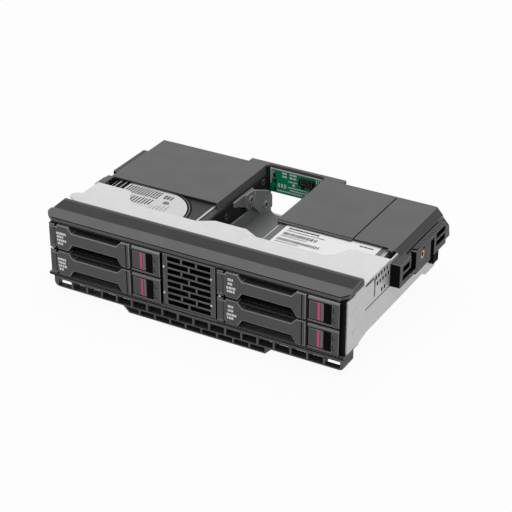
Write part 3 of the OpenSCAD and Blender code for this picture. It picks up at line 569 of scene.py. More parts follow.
def turned(outline, centre, axis=UP, closed=False, steps=32):
    """Bmesh of an outline of (radius, height) pairs spun round an axis through a point."""
    part = bmesh.new()
    rim = [part.verts.new((r * MM, 0.0, h * MM)) for r, h in outline]
    line = [part.edges.new(pair) for pair in zip(rim, rim[1:])]
    if closed:
        line.append(part.edges.new((rim[-1], rim[0])))
    bmesh.ops.spin(
        part, geom=rim + line, cent=(0, 0, 0), axis=UP, angle=math.tau, steps=steps, use_merge=True
    )
    bmesh.ops.remove_doubles(part, verts=part.verts, dist=SPIN_WELD)
    bmesh.ops.recalc_face_normals(part, faces=part.faces)
    aim = Vector(axis).to_track_quat("Z", "Y").to_matrix().to_4x4()
    bmesh.ops.transform(part, matrix=Matrix.Translation(spot(*centre)) @ aim, verts=part.verts)
    return part


def join(shape, part):
    """Moves one bmesh into another."""
    carry = bpy.data.meshes.new("carry")
    part.to_mesh(carry)
    part.free()
    shape.from_mesh(carry)
    bpy.data.meshes.remove(carry)


print("turning helpers ready")

# %% [markdown]
# ## The shell and its brackets
#
# Pressed sheet, the board and most small parts only need soft edges. What stands in deep shadow, such as
# runners, slots and the insides of the brackets, would take many light bounces to look as black as it
# does, so those faces get a black finish of painted shade instead. A test on each face's place and
# direction picks them. The walls of the screw holes are picked in the same way, and the two bores get
# rims that are spun, in a light finish that paints a highlight on them.

# %% Dress the plain solids
plain = [node for node in slot_of if slot_of[node] in ("dark_sheet", "plug", "board", "window")]
plain += ["floor_plate", "top_plate", "drive_sockets"]
plain += [bay + piece for bay in BAYS for piece in ("_lever_pin", "_drive_screws")]
for node in plain:
    dress(node)
# Runners and bezel posts get painted shade all over
shaded_all_over = [
    f"{side}_{part}" for side in ("left", "right")
    for part in ("outer_runner", "inner_runner", "bezel_post")
]
for node in shaded_all_over:
    dress(node, shaded=lambda face: True)
print("dressed", len(plain) + len(shaded_all_over), "plain solids")

# %% Dress what has a screw hole
BORE_REACH = 1.7 * MM
BORE_TURN = 0.5
mounts = frame["record"]["mounts"]
bores = [Vector(mount["pos_m"]) for mount in mounts if mount["kind"] == "bore"]
inserts = [Vector(mount["pos_m"]) for mount in mounts if mount["kind"] == "threaded_hole"]


def in_bore(face):
    """True for the wall of a screw hole, which runs across the cage."""
    middle = face.calc_center_median()
    near = any((middle - hole).yz.length < BORE_REACH for hole in bores + inserts)
    return near and abs(face.normal.x) < BORE_TURN


dress("bracket_insert", shaded=in_bore, shade=red_plug)
# Painted shade on the walls of the boss bracket's bores
dress("boss_bracket", body=boss_grey, shaded=in_bore)
print("dark walls in", len(bores + inserts), "screw holes")

# %% Add rims to the bores
RIM = ((1.6, -0.2), (1.6, 0.2), (1.75, 0.3), (2.0, 0.3), (2.15, 0.1), (2.15, -0.2))
rims = bmesh.new()
for bore in bores:
    mouth = max(p.x for p in points_of("boss_bracket") if (p - bore).yz.length < BORE_REACH)
    join(rims, turned(RIM, (mouth / MM, (bore.y - front) / MM, bore.z / MM), RIGHT, closed=True))
# The rims' light finish is a painted highlight
add_piece("boss_rims", rims, (duct_highlight,), "cage")
print("rims on", len(bores), "bores")

# %% Dress the side walls
SHEET = 1.0
PRESSED_DEPTHS = (0.2, 0.8)
SLOT_DEPTHS = (0.15, 0.8)
SLOT_AREA = 6 * MM * MM
wall_outside = corners("right_outer_runner")[1][0] + SHEET


def wall_opening(face):
    """True inside a side wall's slots and on the floor of its pressed lines, which get painted shade."""
    depth_in = wall_outside - abs(face.calc_center_median().x) / MM
    pressed = abs(face.normal.x) > FACING and PRESSED_DEPTHS[0] < depth_in < PRESSED_DEPTHS[1]
    return pressed or (SLOT_DEPTHS[0] < depth_in < SLOT_DEPTHS[1] and face.calc_area() < SLOT_AREA)


for side in ("left", "right"):
    dress(side + "_side_wall", shaded=wall_opening)
print("side walls reach", round(wall_outside, 2), "mm")

# %% Dress the side brackets
BRACKET_TOP = 40.0
OUTER_SKIN = 0.1
bracket_out = corners("right_latch_bracket")[1][0]


def inside_bracket(face):
    """True for a bracket's faces that look neither outwards nor up, which get painted shade."""
    place = face.calc_center_median() / MM
    outside = abs(face.normal.x) > FACING and abs(place.x) > bracket_out - OUTER_SKIN
    return not outside and not (face.normal.z > FACING and place.z > BRACKET_TOP)


for node in ("left_latch_rail", "right_latch_bracket"):
    dress(node, shaded=inside_bracket)
print("brackets reach", round(bracket_out, 2), "mm")

# %% [markdown]
# ## Grilles, rail and tray
#
# The grilles are moulded with brick-shaped holes whose corners are slightly round. A bevel on the edges
# inside the holes makes them so, and a darker finish on all but the front paints the shade that gives the
# holes their depth. A dark sheet of painted shade behind the lower grille keeps the white floor from
# showing through it. The rail between the bays and the lower grille has margins of painted shade, and the
# tray lies in shadow near the front. Planes slice their faces there, so that each part can have its own
# finish without a texture.

# %% Dress the grilles
HOLE_ROUND = 0.5 * MM
ALONG = 0.99
GRILLE_WELD = 0.01 * MM


def round_edges(shape, edges, offset, segments, **options):
    """Bevels some edges of a bmesh and returns the new faces."""
    return bmesh.ops.bevel(
        shape, geom=edges, offset=offset, segments=segments,
        affect="EDGES", profile=0.5, material=-1, **options
    )["faces"]


def grille(node, shade):
    """Dresses a grille: round hole corners, and a darker finish of painted shade on all but its front."""
    shape = merged_copy(node)
    paint([face for face in shape.faces if not faces_front(face)], RECESS)
    inner = [
        edge for edge in shape.edges
        if len(edge.link_faces) == 2 and edge.calc_face_angle_signed() < -SHARP
        and abs((edge.verts[1].co - edge.verts[0].co).normalized().y) > ALONG
    ]
    round_edges(shape, inner, HOLE_ROUND, segments=3, clamp_overlap=True)
    bmesh.ops.dissolve_degenerate(shape, dist=GRILLE_WELD, edges=shape.edges)
    bmesh.ops.connect_verts_concave(shape, faces=shape.faces)
    dress(node, shape, shade=shade)
    print(node, "rounded at", len(inner), "corners")


# Painted shade inside the holes: black in the vent, the bracket's darker grey in the lower grille
grille("vent_grille", shade_and_mark_black)
grille("lower_grille", bracket)

# %% Put a sheet of painted shade behind the lower grille
GROUND_REACH = 0.05
CORNER_REACH = 3.5
WING_REACH = 5.0
OPEN_LEFT = 28.0
FRAME_RIGHT = 2.5
FRAME_SIDE = 1.0
FRAME_FOOT = 0.7
FRAME_HEAD = 0.8
SHADE_SHEET_DEPTHS = (0.05, 0.55)
THIN_EDGE = 0.1


def add_soft(name, shape, material):
    """Adds a small piece of one finish to the cage, with narrow soft edges."""
    weigh_edges(shape, THIN_EDGE * MM)
    soften(add_piece(name, shape, (material, material), "cage"), THIN_EDGE * MM)


grille_low, grille_high = corners("lower_grille")
grille_points = [p / MM for p in points_of("lower_grille")]
deep_ends = [p.x for p in grille_points if p.z < GROUND_REACH]
band_low = min(p.z for p in grille_points if p.x > grille_high[0] - CORNER_REACH)
grille_rear = max(p.y - front / MM for p in grille_points if p.x < grille_high[0] - WING_REACH)
shade_sheet_depths = [grille_rear + y for y in SHADE_SHEET_DEPTHS]
band_ends = (grille_low[0] + OPEN_LEFT, grille_high[0] - FRAME_RIGHT)
foot_ends = (min(deep_ends) + FRAME_SIDE, max(deep_ends) - FRAME_SIDE)
# A dark sheet stands for the shade inside the cage behind the lower grille
shade_sheet = bmesh.new()
block(shade_sheet, band_ends, shade_sheet_depths, (band_low + FRAME_FOOT, grille_high[2] - FRAME_HEAD))
block(shade_sheet, foot_ends, shade_sheet_depths, (FRAME_FOOT, band_low + FRAME_HEAD))
add_soft("grille_shade_sheet", shade_sheet, dark_highlight_and_shade)
print("backing behind the lower grille at", round(grille_rear, 2), "mm")

# %% Line the bottom rail
RAIL_FOOT = 0.75
RAIL_HEAD = 0.55
SLICE_WELD = 0.005 * MM


def slice_at(shape, place, direction):
    """Cuts a shape's faces along a plane."""
    bmesh.ops.bisect_plane(
        shape, geom=shape.verts[:] + shape.edges[:] + shape.faces[:], plane_co=place, plane_no=direction
    )
    bmesh.ops.dissolve_degenerate(shape, dist=SLICE_WELD, edges=shape.edges)


rail = merged_copy("bottom_rail")
rail_low, rail_high = corners("bottom_rail")
rail_lines = (rail_low[2] + RAIL_FOOT, rail_high[2] - RAIL_HEAD)
bay_end = bay_corner["lower_right"][0]
for height in rail_lines:
    slice_at(rail, spot(0, 0, height), UP)
for x in (-bay_end, bay_end):
    slice_at(rail, spot(x, 0, 0), RIGHT)


def rail_shadow(face):
    """True for the rail's underside, the dark foot of its front and the margin below the carriers."""
    place = face.calc_center_median() / MM
    under_bay = place.z > rail_lines[1] and abs(place.x) > bay_end
    return face.normal.z < -FACING or (faces_front(face) and (place.z < rail_lines[0] or under_bay))


dress("bottom_rail", rail, width=THIN_EDGE, shaded=rail_shadow)
print("rail lined at", [round(v, 2) for v in rail_lines])

# %% Dress the duct tray
TRAY_SHADE = 54.0
tray = merged_copy("duct_tray")
slice_at(tray, spot(0, TRAY_SHADE, 0), REAR)
dress("duct_tray", tray, shaded=lambda face: depth(face) < TRAY_SHADE)
print("tray is dark in front of", TRAY_SHADE, "mm")

# %% [markdown]
# ## The brow
#
# The brow is the sloped moulding along the top of the front. A fine groove runs along its lip, right
# under the sloped band. It is cut with two planes and an inset that sinks the strip between them, and a
# third plane marks off the foot of the lip. The groove and the foot get painted shade. The darker strip
# behind the brow rolls off to the rear. Two lighter bands of painted sheen on its top and a wide soft
# edge give that look without a curved surface.

# %% Groove the brow
GROOVE_FOOT = 2.3
GROOVE_HEAD = 2.9
LIP_FOOT = 0.7
GROOVE_INSET = 0.03 * MM
GROOVE_DEPTH = 0.3 * MM
BROW_LEAN = 0.4
BROW_EDGE = 0.4
brow = merged_copy("front_brow")
brow_low = corners("front_brow")[0][2]
groove_low, groove_high, lip_line = [brow_low + rise for rise in (GROOVE_FOOT, GROOVE_HEAD, LIP_FOOT)]
for height in (groove_low, groove_high, lip_line):
    slice_at(brow, spot(0, 0, height), UP)


def brow_band(low, high):
    """Faces on the brow's front between two heights."""
    return [
        face for face in brow.faces
        if face.normal.y < -BROW_LEAN and low < face.calc_center_median().z / MM < high
    ]


groove = brow_band(groove_low, groove_high)
sunk = bmesh.ops.inset_region(brow, faces=groove, thickness=GROOVE_INSET, depth=-GROOVE_DEPTH)
# Painted shade in the groove and along the foot of the lip
paint(groove + sunk["faces"] + brow_band(0.0, lip_line), RECESS)
dress("front_brow", brow, width=BROW_EDGE)
print("groove on", len(groove), "faces")

# %% Dress the strip behind the brow
BRIGHT_SHEEN_REACH = 2.1
SOFT_SHEEN_REACH = 3.6
strip_shape = merged_copy("brow_strip")
strip_rear = corners("brow_strip")[1][1]
for reach in (BRIGHT_SHEEN_REACH, SOFT_SHEEN_REACH):
    slice_at(strip_shape, spot(0, strip_rear - reach, 0), REAR)
strip_top = [face for face in strip_shape.faces if face.normal.z > LEANING]
# Painted sheen: a bright band at the rear edge and a softer one in front of it
for reach, place in ((SOFT_SHEEN_REACH, RECESS), (BRIGHT_SHEEN_REACH, EDGE)):
    paint([face for face in strip_top if depth(face) > strip_rear - reach], place)
dress("brow_strip", strip_shape, shade=strip_soft_sheen)
print("strip ends at", round(strip_rear, 2), "mm")

# %% [markdown]
# ## The rear covers
#
# The covers are large matt mouldings over the rear of the drives. The right cover and its end cap meet at
# a seam that shows as a dark line. Both edges are drawn back a little, and a dark strip of painted shade
# fills the gap, because a real gap holds its shape in every view. The covers' front edges stand in shadow,
# so they are dark too, and the end cap's slope gets painted shade a tone darker than its top.

# %% Dress the covers
SEAM_HALF = 0.4
TOUCH = 0.01
# Place of the slope's painted shade in the end cap's list of materials
CAP_SLOPE_SHADE = 3
seam = corners("right_cover")[1][0]


def draw_back(shape, x, shift):
    """Moves the corners at one place across the cage sideways."""
    for vert in shape.verts:
        if abs(vert.co.x / MM - x) < TOUCH:
            vert.co.x += shift * MM


right_cover = merged_copy("right_cover")
draw_back(right_cover, seam, -SEAM_HALF)
dress("right_cover", right_cover, shaded=faces_front)
end_cap = merged_copy("right_end_cap")
draw_back(end_cap, seam, SEAM_HALF)
cap_piece = dress("right_end_cap", end_cap, shaded=faces_front)
cap_piece.data.materials.append(cap_slope_shade)
for polygon in cap_piece.data.polygons:
    if polygon.normal.x > LEANING and polygon.normal.z > LEANING:
        polygon.material_index = CAP_SLOPE_SHADE
dress("left_cover", shaded=faces_front)
dress("rear_bar")
print("seam at", round(seam, 2), "mm")

# %% Paint shade into the seam
SHADE_STRIP_FRONT = 1.8
SHADE_STRIP_REAR = 0.2
SHADE_STRIP_HEIGHTS = (45.6, 46.3)
cover_low, cover_high = corners("right_cover")
shade_strip_depths = (cover_low[1] + SHADE_STRIP_FRONT, cover_high[1] - SHADE_STRIP_REAR)
seam_shade = bmesh.new()
block(seam_shade, (seam - SEAM_HALF, seam + SEAM_HALF), shade_strip_depths, SHADE_STRIP_HEIGHTS)
add_soft("seam_shade_strip", seam_shade, shade_and_mark_black)
print("seam_shade", 2 * SEAM_HALF, "mm wide")

# %% [markdown]
# ## Carriers, levers and buttons
#
# A carrier is the moulded drawer that holds a drive. Its lever swings out to pull it, and the button at
# its right end frees the lever. The visual faces at the very front lie a little behind the CAD faces,
# which leaves room for printed marks inside the CAD model's box. The latch end's upper edge is a broad
# slope that catches the light from above, and it has a painted highlight as well. The block behind the
# lever and the groove near its tip get painted shade. Lever and button are drawn back at their ends,
# because the narrow gaps round them show as dark lines. Lips close the finger recesses above and below.
# The slots in them are faces left out of a grid. The lips of the upper bays are black with painted shade
# because they lie under the brow, and those of the lower bays a dark grey of painted shade.

# %% Carrier helpers
PRINT_ROOM = 0.06
BLOCK_DEPTHS = (0.5, 8.3)
GROOVE_DEPTHS = (0.1, 1.0)


def ease_front(shape):
    """Draws the foremost corners back to leave room for print."""
    for vert in shape.verts:
        if vert.co.y < front + TOUCH * MM:
            vert.co.y += PRINT_ROOM * MM


def shaded_behind_lever(face):
    """True for the faces of the carrier's front block that lie behind the lever and get painted shade."""
    return BLOCK_DEPTHS[0] < depth(face) < BLOCK_DEPTHS[1]


def in_groove(face):
    """True for the floor of the groove near the lever's tip, which gets painted shade."""
    return faces_front(face) and GROOVE_DEPTHS[0] < depth(face) < GROOVE_DEPTHS[1]


print("front drawn back by", PRINT_ROOM, "mm")

# %% Dress the carriers and what moves on them
LATCH_LENGTH = 15 * MM
LATCH_SLOPE = 0.8 * MM
LEVER_GAP = 0.8
BUTTON_GAP = 0.45
BUTTON_FOOT = 1.0


def dress_carrier(bay):
    """Carrier with a painted highlight on its latch slope and painted shade behind the lever."""
    shape = merged_copy(bay + "_carrier")
    lip = [
        edge for edge in shape.edges
        if edge.calc_length() > LATCH_LENGTH and all(
            abs(v.co.z / MM - carrier_top[bay]) < TOUCH and v.co.y < front + TOUCH * MM for v in edge.verts
        )
    ]
    # The latch slope takes the edge finish, a painted highlight
    paint(round_edges(shape, lip, LATCH_SLOPE, segments=1), EDGE)
    ease_front(shape)
    dress(bay + "_carrier", shape, shaded=shaded_behind_lever)


def dress_lever(bay):
    """Lever with a gap at its tip and painted shade in the groove beside it."""
    shape = merged_copy(bay + "_lever")
    ease_front(shape)
    draw_back(shape, corners(bay + "_lever")[1][0], -LEVER_GAP)
    dress(bay + "_lever", shape, shaded=in_groove)


def dress_button(bay):
    """Button with a gap at its left end, above it and below it."""
    shape = merged_copy(bay + "_button")
    ease_front(shape)
    left, _, low = corners(bay + "_button")[0]
    draw_back(shape, left, BUTTON_GAP)
    for vert in shape.verts:
        at_foot = vert.co.z / MM < low + BUTTON_FOOT
        vert.co.z += BUTTON_GAP * MM * (1 if at_foot else -1)
    dress(bay + "_button", shape)


for bay in BAYS:
    dress_carrier(bay)
    dress_lever(bay)
    dress_button(bay)
print("dressed", len(BAYS), "carriers")

# %% Lips round the finger recesses
LIP_ENDS = (14.2, 48.9)
LIP_DEPTHS = (1.1, 6.3)
LIP_COLUMNS = 30
LIP_ROWS = 3
SLOT_PITCH = 4
LIP_SHEET = 0.7
FOOT_FRONT = 4.2
FOOT_SHEET = 0.9


def recess_lips(bay):
    """Slotted lip along a carrier's top and a plain lip along its foot, behind the lever's bar."""
    left, _, low = bay_corner[bay]
    x0, x1 = [left + x for x in LIP_ENDS]
    y0, y1 = LIP_DEPTHS
    shape = bmesh.new()
    middle = spot((x0 + x1) / 2, (y0 + y1) / 2, carrier_top[bay])
    size = Matrix.Diagonal(((x1 - x0) * MM, (y1 - y0) * MM, 1.0, 1.0))
    bmesh.ops.create_grid(
        shape, x_segments=LIP_COLUMNS, y_segments=LIP_ROWS, size=0.5, matrix=Matrix.Translation(middle) @ size
    )
    slots = []
    for face in shape.faces:
        column = int((face.calc_center_median().x / MM - x0) / (x1 - x0) * LIP_COLUMNS)
        row = int((depth(face) - y0) / (y1 - y0) * LIP_ROWS)
        if row == 1 and column % SLOT_PITCH:
            slots.append(face)
    bmesh.ops.delete(shape, geom=slots, context="FACES")
    bmesh.ops.solidify(shape, geom=shape.faces[:], thickness=LIP_SHEET * MM)
    block(shape, (x0, x1), (FOOT_FRONT, y1), (low, low + FOOT_SHEET))
    # Painted shade: black under the brow, dark grey in the lower bays
    lip_shade = shade_and_mark_black if bay.startswith("upper") else lip_shade_grey
    piece = add_piece(bay + "_lips", shape, (lip_shade,), bay + "_unit")
    return len(piece.data.polygons)


print("lip faces", [recess_lips(bay) for bay in BAYS])

# %% [markdown]
# ## Print on the front
#
# Levers and buttons carry print, put on by pad or screen. It is drawn as plain dashes and stripes, a few
# hundredths of a millimetre thick, so that it shows in every view and moves with its lever or button.
# The dark lines on the levers, painted shade of a groove and a gap, and the marks of the lamps are made
# in the same way. Small bright pins and pin caps beside the bays are spun from short outlines.

# %% Print helpers
INK = (0.02, 0.07)
THIN_INK = (0.03, 0.07)


def mark(shape, bay, across, upwards, ink=INK):
    """Adds a flat mark to a bay's front; its ends are measured from the carrier's lower left corner."""
    left, _, low = bay_corner[bay]
    return block(shape, [left + x for x in across], ink, [low + z for z in upwards])


def dashes(shape, spans, along, rng, dash=(0.7, 1.6), gap=(0.18, 0.35)):
    """Fills a thin box with uneven dashes, the way small print looks from a distance."""
    here, last = spans[along]
    while here < last - dash[0]:
        end = min(here + rng.uniform(*dash), last)
        block(shape, *spans[:along], (here, end), *spans[along + 1:])
        here = end + rng.uniform(*gap)


print("print helpers ready")

# %% Print the levers
# Height of each row above the carrier's foot, and its two ends from the carrier's left end
PRINT_ROWS = {
    "left": ((10.4, 5.2, 12.0), (8.2, 5.6, 10.8), (6.0, 5.6, 12.0), (3.8, 6.0, 9.6)),
    "right": ((11.6, 7.2, 10.6), (9.0, 7.2, 11.0), (6.4, 6.4, 12.6), (4.2, 6.6, 11.6)),
}
ROW_HALF = 0.75
# Dark lines of painted shade, in the groove beside the hinge and the gap near the tip:
# both ends across and both ends upwards
LEVER_SHADE_LINES = (((4.05, 4.4), (1.7, 13.9)), ((53.1, 53.8), (0.4, 15.2)))
LINE_ROUND = 0.015 * MM
for bay in BAYS:
    left, _, low = bay_corner[bay]
    rng = random.Random(bay)
    rows = bmesh.new()
    for z, x0, x1 in PRINT_ROWS[bay.split("_")[1]]:
        heights = (low + z - ROW_HALF, low + z + ROW_HALF)
        dashes(rows, ((left + x0, left + x1), INK, heights), 0, rng)
    add_piece(bay + "_print", rows, (print_white,), bay + "_handle")
    line = bmesh.new()
    for across, upwards in LEVER_SHADE_LINES:
        mark(line, bay, across, upwards, THIN_INK)
    round_edges(line, line.edges[:], LINE_ROUND, segments=2)
    add_piece(bay + "_lever_shade_lines", line, (shade_and_mark_black,), bay + "_handle")
print("printed", len(BAYS), "levers")

# %% Stripes on the buttons and lamps beside them
STRIPE_HEIGHTS = (2.2, 13.1)
PINK_STRIPE = (63.0, 64.5)
PALE_STRIPE = (65.2, 66.1)
LAMPS = ((73.1, 10.7), (73.0, 4.3))
# Strokes of a lamp's mark: both ends across and both ends upwards from its middle
LAMP_STROKES = (((-0.9, -0.5), (-1.5, 1.5)), ((-0.5, 0.7), (-1.5, -1.1)))
for bay in BAYS:
    stripe = bmesh.new()
    mark(stripe, bay, PINK_STRIPE, STRIPE_HEIGHTS)
    paint(mark(stripe, bay, PALE_STRIPE, STRIPE_HEIGHTS, THIN_INK), EDGE)
    add_piece(bay + "_stripe", stripe, (stripe_pink, button_highlight_and_stripe), bay + "_release")
    lamps = bmesh.new()
    for x, z in LAMPS:
        for across, upwards in LAMP_STROKES:
            mark(lamps, bay, [x + shift for shift in across], [z + shift for shift in upwards])
    add_piece(bay + "_lamps", lamps, (shade_and_mark_black,), bay + "_unit")
print("striped", len(BAYS), "buttons")

# %% Pins in the front
FORWARD = (0, -1, 0)
PIN = ((0.0, 0.45), (0.35, 0.4), (0.62, 0.22), (0.75, -0.1), (0.0, -0.1))
PIN_DEPTH = 1.0
PIN_COLUMNS = (-16.4, 14.6)
PIN_HEIGHTS = (20.6, 37.5)
PIN_CAP = ((0.0, 0.8), (0.7, 0.8), (1.0, 0.5), (1.1, -0.1), (0.0, -0.1))
PIN_CAP_PLACE = (1.4, 1.6)
pins = bmesh.new()
for x in PIN_COLUMNS:
    for z in PIN_HEIGHTS:
        join(pins, turned(PIN, (x, PIN_DEPTH, z), FORWARD, steps=20))
add_piece("vent_pins", pins, (print_white,), "cage")
for bay in ("lower_left", "lower_right"):
    cap = turned(PIN_CAP, (bay_corner[bay][0] + PIN_CAP_PLACE[0], PIN_CAP_PLACE[1], carrier_top[bay]))
    add_piece(bay + "_pin_cap", cap, (screw_zinc,), bay + "_unit")
print("pins placed")

# %% [markdown]
# ## Drives and their labels
#
# A drive is a light metal casting with a lid, and the lid carries a paper label. On the left the lid is
# dark, and the label ends in a half disc over the spindle, with pressed rings round it. On the right the
# label is a plain sheet. The print is rows of uneven bars. Labels and print are thin solids, laid one over
# the other, because a picture on a flat face would need its own map.

# %% Dress the drives
SHOULDER = 2.0
LID_SKIN = 0.05


def lid_test(top, sides):
    """Makes a test for a lid's top face and, if asked, the casting's sides just below it."""
    def is_lid(face):
        z = face.calc_center_median().z / MM
        return z > top - LID_SKIN or (sides and abs(face.normal.x) > FACING and z > top - SHOULDER)
    return is_lid


for bay in BAYS:
    top = drive_top[bay]
    on_left = bay.endswith("left")
    shape = merged_copy(bay + "_drive")
    slice_at(shape, spot(0, 0, top - SHOULDER), UP)
    dress(bay + "_drive", shape, shaded=lid_test(top, on_left), shade=lid_dark if on_left else lid_grey)
print("dressed", len(BAYS), "drives")

# %% Left label shapes
SPINDLE = (38.05, 42.5)
LABEL_DEPTHS = (19.2, 104.0)
FILM = 0.03


def lid_disc(bay, radius, rise):
    """Right half of a thin disc round a drive's spindle, cut off at the label's near edge."""
    part = bmesh.new()
    centre = spot(bay_corner[bay][0] + SPINDLE[0], SPINDLE[1], drive_top[bay] + rise)
    bmesh.ops.create_circle(
        part, cap_ends=True, segments=96, radius=radius * MM, matrix=Matrix.Translation(centre)
    )
    for place, direction in ((centre, RIGHT), (spot(0, LABEL_DEPTHS[0], 0), REAR)):
        bmesh.ops.bisect_plane(
            part, geom=part.verts[:] + part.edges[:] + part.faces[:],
            plane_co=place, plane_no=direction, clear_inner=True
        )
    bmesh.ops.recalc_face_normals(part, faces=part.faces)
    bmesh.ops.solidify(part, geom=part.faces[:], thickness=FILM * MM)
    return part


def lid_band(shape, bay, x0, x1, rise):
    """Adds a thin band along a drive's lid, between two distances from the carrier's left end."""
    left, top = bay_corner[bay][0], drive_top[bay]
    block(shape, (left + x0, left + x1), LABEL_DEPTHS, (top, top + rise))


print("label helpers ready")

# %% Label the left drives
LEFT_BAYS = ("upper_left", "lower_left")
# Radius and rise of each disc, and both ends and rise of each band
RINGS = ((28.8, 0.04), (27.0, 0.08))
RING_LINE = (27.7, 0.06)
DARK_BAND = (4.6, 12.8, 0.06)
LABEL_DISC = (25.9, 0.1)
LABEL_BANDS = ((13.2, SPINDLE[0], 0.1), (6.4, 6.9, 0.08), (10.0, 10.5, 0.08))
for bay in LEFT_BAYS:
    rings = bmesh.new()
    for ring in RINGS:
        join(rings, lid_disc(bay, *ring))
    lid_band(rings, bay, *DARK_BAND)
    add_piece(bay + "_rings", rings, (shade_and_mark_black,), bay + "_unit")
    add_piece(bay + "_ring_line", lid_disc(bay, *RING_LINE), (lid_grey,), bay + "_unit")
    label = bmesh.new()
    join(label, lid_disc(bay, *LABEL_DISC))
    for band in LABEL_BANDS:
        lid_band(label, bay, *band)
    add_piece(bay + "_label", label, (paper,), bay + "_unit")
print("left drives labelled")

# %% Print on the left labels
FINE = {"dash": (0.25, 0.8), "gap": (0.25, 0.6)}
# Blocks of rows: count, first place, pitch, width, both ends, how far each end moves per row, dash style
LEFT_ROWS = (
    (13, 14.6, 1.85, 1.05, (57.0, 66.0), (0.0, 0.0), {}),
    (7, 24.0, 2.1, 1.0, (46.0, 55.5), (0.4, 0.0), {}),
    (5, 40.0, 2.4, 0.6, (45.0, 49.0), (0.0, 1.0), FINE),
    (3, 40.9, 2.2, 1.6, (59.5, 64.0), (0.0, 0.0), {"dash": (0.5, 1.4)}),
)
LEFT_INK = (0.09, 0.13)
DOT = ((0.0, 0.04), (2.1, 0.04), (2.2, 0.0), (0.0, 0.0))
DOT_PLACE = (45.9, 55.1)
for bay in LEFT_BAYS:
    left = bay_corner[bay][0]
    heights = [drive_top[bay] + rise for rise in LEFT_INK]
    rng = random.Random(bay)
    ink = bmesh.new()
    for count, first, pitch, width, ends, shifts, style in LEFT_ROWS:
        for row in range(count):
            x = left + first + pitch * row
            depths = [end + shift * row for end, shift in zip(ends, shifts)]
            dashes(ink, ((x, x + width), depths, heights), 1, rng, **style)
    join(ink, turned(DOT, (left + DOT_PLACE[0], DOT_PLACE[1], heights[0]), steps=24))
    add_piece(bay + "_label_print", ink, (print_black,), bay + "_unit")
print("left labels printed")

# %% Label and print the right drives
BARS = {"dash": (0.5, 1.1), "gap": (0.45, 0.95)}
# Rows of print: distance behind the front, depth, both ends from the carrier's left end, and dash style
RIGHT_ROWS = (
    (62.6, 1.5, 11.6, 31.0, {"dash": (0.9, 2.0)}), (60.2, 0.8, 11.4, 36.0, {}),
    (55.0, 3.4, 11.4, 33.0, BARS), (53.2, 0.7, 11.2, 28.0, {}),
    (48.2, 3.0, 11.0, 38.5, BARS), (46.2, 0.7, 11.0, 26.0, {}), (63.4, 1.2, 56.5, 65.0, {}),
)
RIGHT_INK = (0.07, 0.12)
SHEET_ENDS = (8.8, 68.4)
SHEET_DEPTHS = (20.0, 108.0)
PAPER = 0.08
PAPER_ROUND = 1.5 * MM
for bay in ("upper_right", "lower_right"):
    left, top = bay_corner[bay][0], drive_top[bay]
    rng = random.Random(bay)
    label = bmesh.new()
    block(label, [left + x for x in SHEET_ENDS], SHEET_DEPTHS, (top, top + PAPER))
    uprights = [edge for edge in label.edges if abs(edge.verts[0].co.z - edge.verts[1].co.z) > PAPER / 2 * MM]
    round_edges(label, uprights, PAPER_ROUND, segments=4)
    add_piece(bay + "_label", label, (bright_paper,), bay + "_unit")
    heights = [top + rise for rise in RIGHT_INK]
    ink = bmesh.new()
    for y, size, x0, x1, style in RIGHT_ROWS:
        dashes(ink, ((left + x0, left + x1), (y, y + size), heights), 0, rng, **style)
    add_piece(bay + "_label_print", ink, (print_black,), bay + "_unit")
print("right drives labelled")

# %% [markdown]
# ## The board and its connectors
#
# The backplane is a circuit board with a pale silk-screen print: outlines, pads and dashes. Its connectors
# are moulded housings with a hollow and contacts, and small parts sit round them. Insets sink the hollows
# and the recesses of the screw heads and paint shade into them, which takes one step and keeps each
# housing one closed shape.

# %% Print the board
board_front = corners("backplane")[0][1]
SILK_DEPTHS = (board_front - 0.08, board_front + 0.02)
# Patches of print: left end, foot, right end and head
SILK_PATCHES = [(-18.6, 43.9, 18.6, 44.6), (-18.6, 34.0, -18.0, 43.9), (-3.2, 34.9, -1.4, 36.6)]
SILK_PATCHES += [(x, 37.8, x + 0.35, 43.0) for x in (-17.4, -16.4)]
SILK_PATCHES += [(x, 32.4, x + 1.4, 35.0) for x in (-13.4, -11.2, -9.0)]
SILK_PATCHES += [(x, 40.6, x + 0.6, 43.6) for x in (13.2, 14.6, 16.0)]
for z in (39.7, 41.9):
    SILK_PATCHES += [(x0, z, x1, z + 1.2) for x0, x1 in ((-10.4, -7.2), (-5.2, -3.1), (-2.6, -0.4))]
# Rows of dashes: foot and both ends
SILK_ROWS = ((37.2, -6.0, 0.5), (33.2, -6.2, 8.2), (31.4, -5.0, 7.0), (29.6, -14.0, 4.0))
SILK_ROW_HEIGHT = 0.9
silk = bmesh.new()
rng = random.Random("silk")
for x0, z0, x1, z1 in SILK_PATCHES:
    block(silk, (x0, x1), SILK_DEPTHS, (z0, z1))
for z, x0, x1 in SILK_ROWS:
    dashes(silk, ((x0, x1), SILK_DEPTHS, (z, z + SILK_ROW_HEIGHT)), 0, rng)
add_piece("board_silk", silk, (print_white,), "cage")
print("board printed with", len(SILK_PATCHES), "patches")

# %% Small parts on the board
# Middle across and upwards, width and height of each part
BOARD_PARTS = (
    (-15.6, 40.2, 1.6, 2.4), (-15.2, 36.4, 2.2, 1.4), (-15.0, 31.0, 1.4, 2.0), (4.4, 36.0, 2.6, 1.2),
    (10.2, 35.6, 2.0, 1.6), (14.6, 36.6, 1.6, 2.2), (15.0, 31.6, 2.2, 1.4),
)
PART_DEPTHS = (board_front - 0.8, board_front + 0.02)
END_DEPTHS = (board_front - 0.5, board_front + 0.02)
END_WIDTH = 0.25
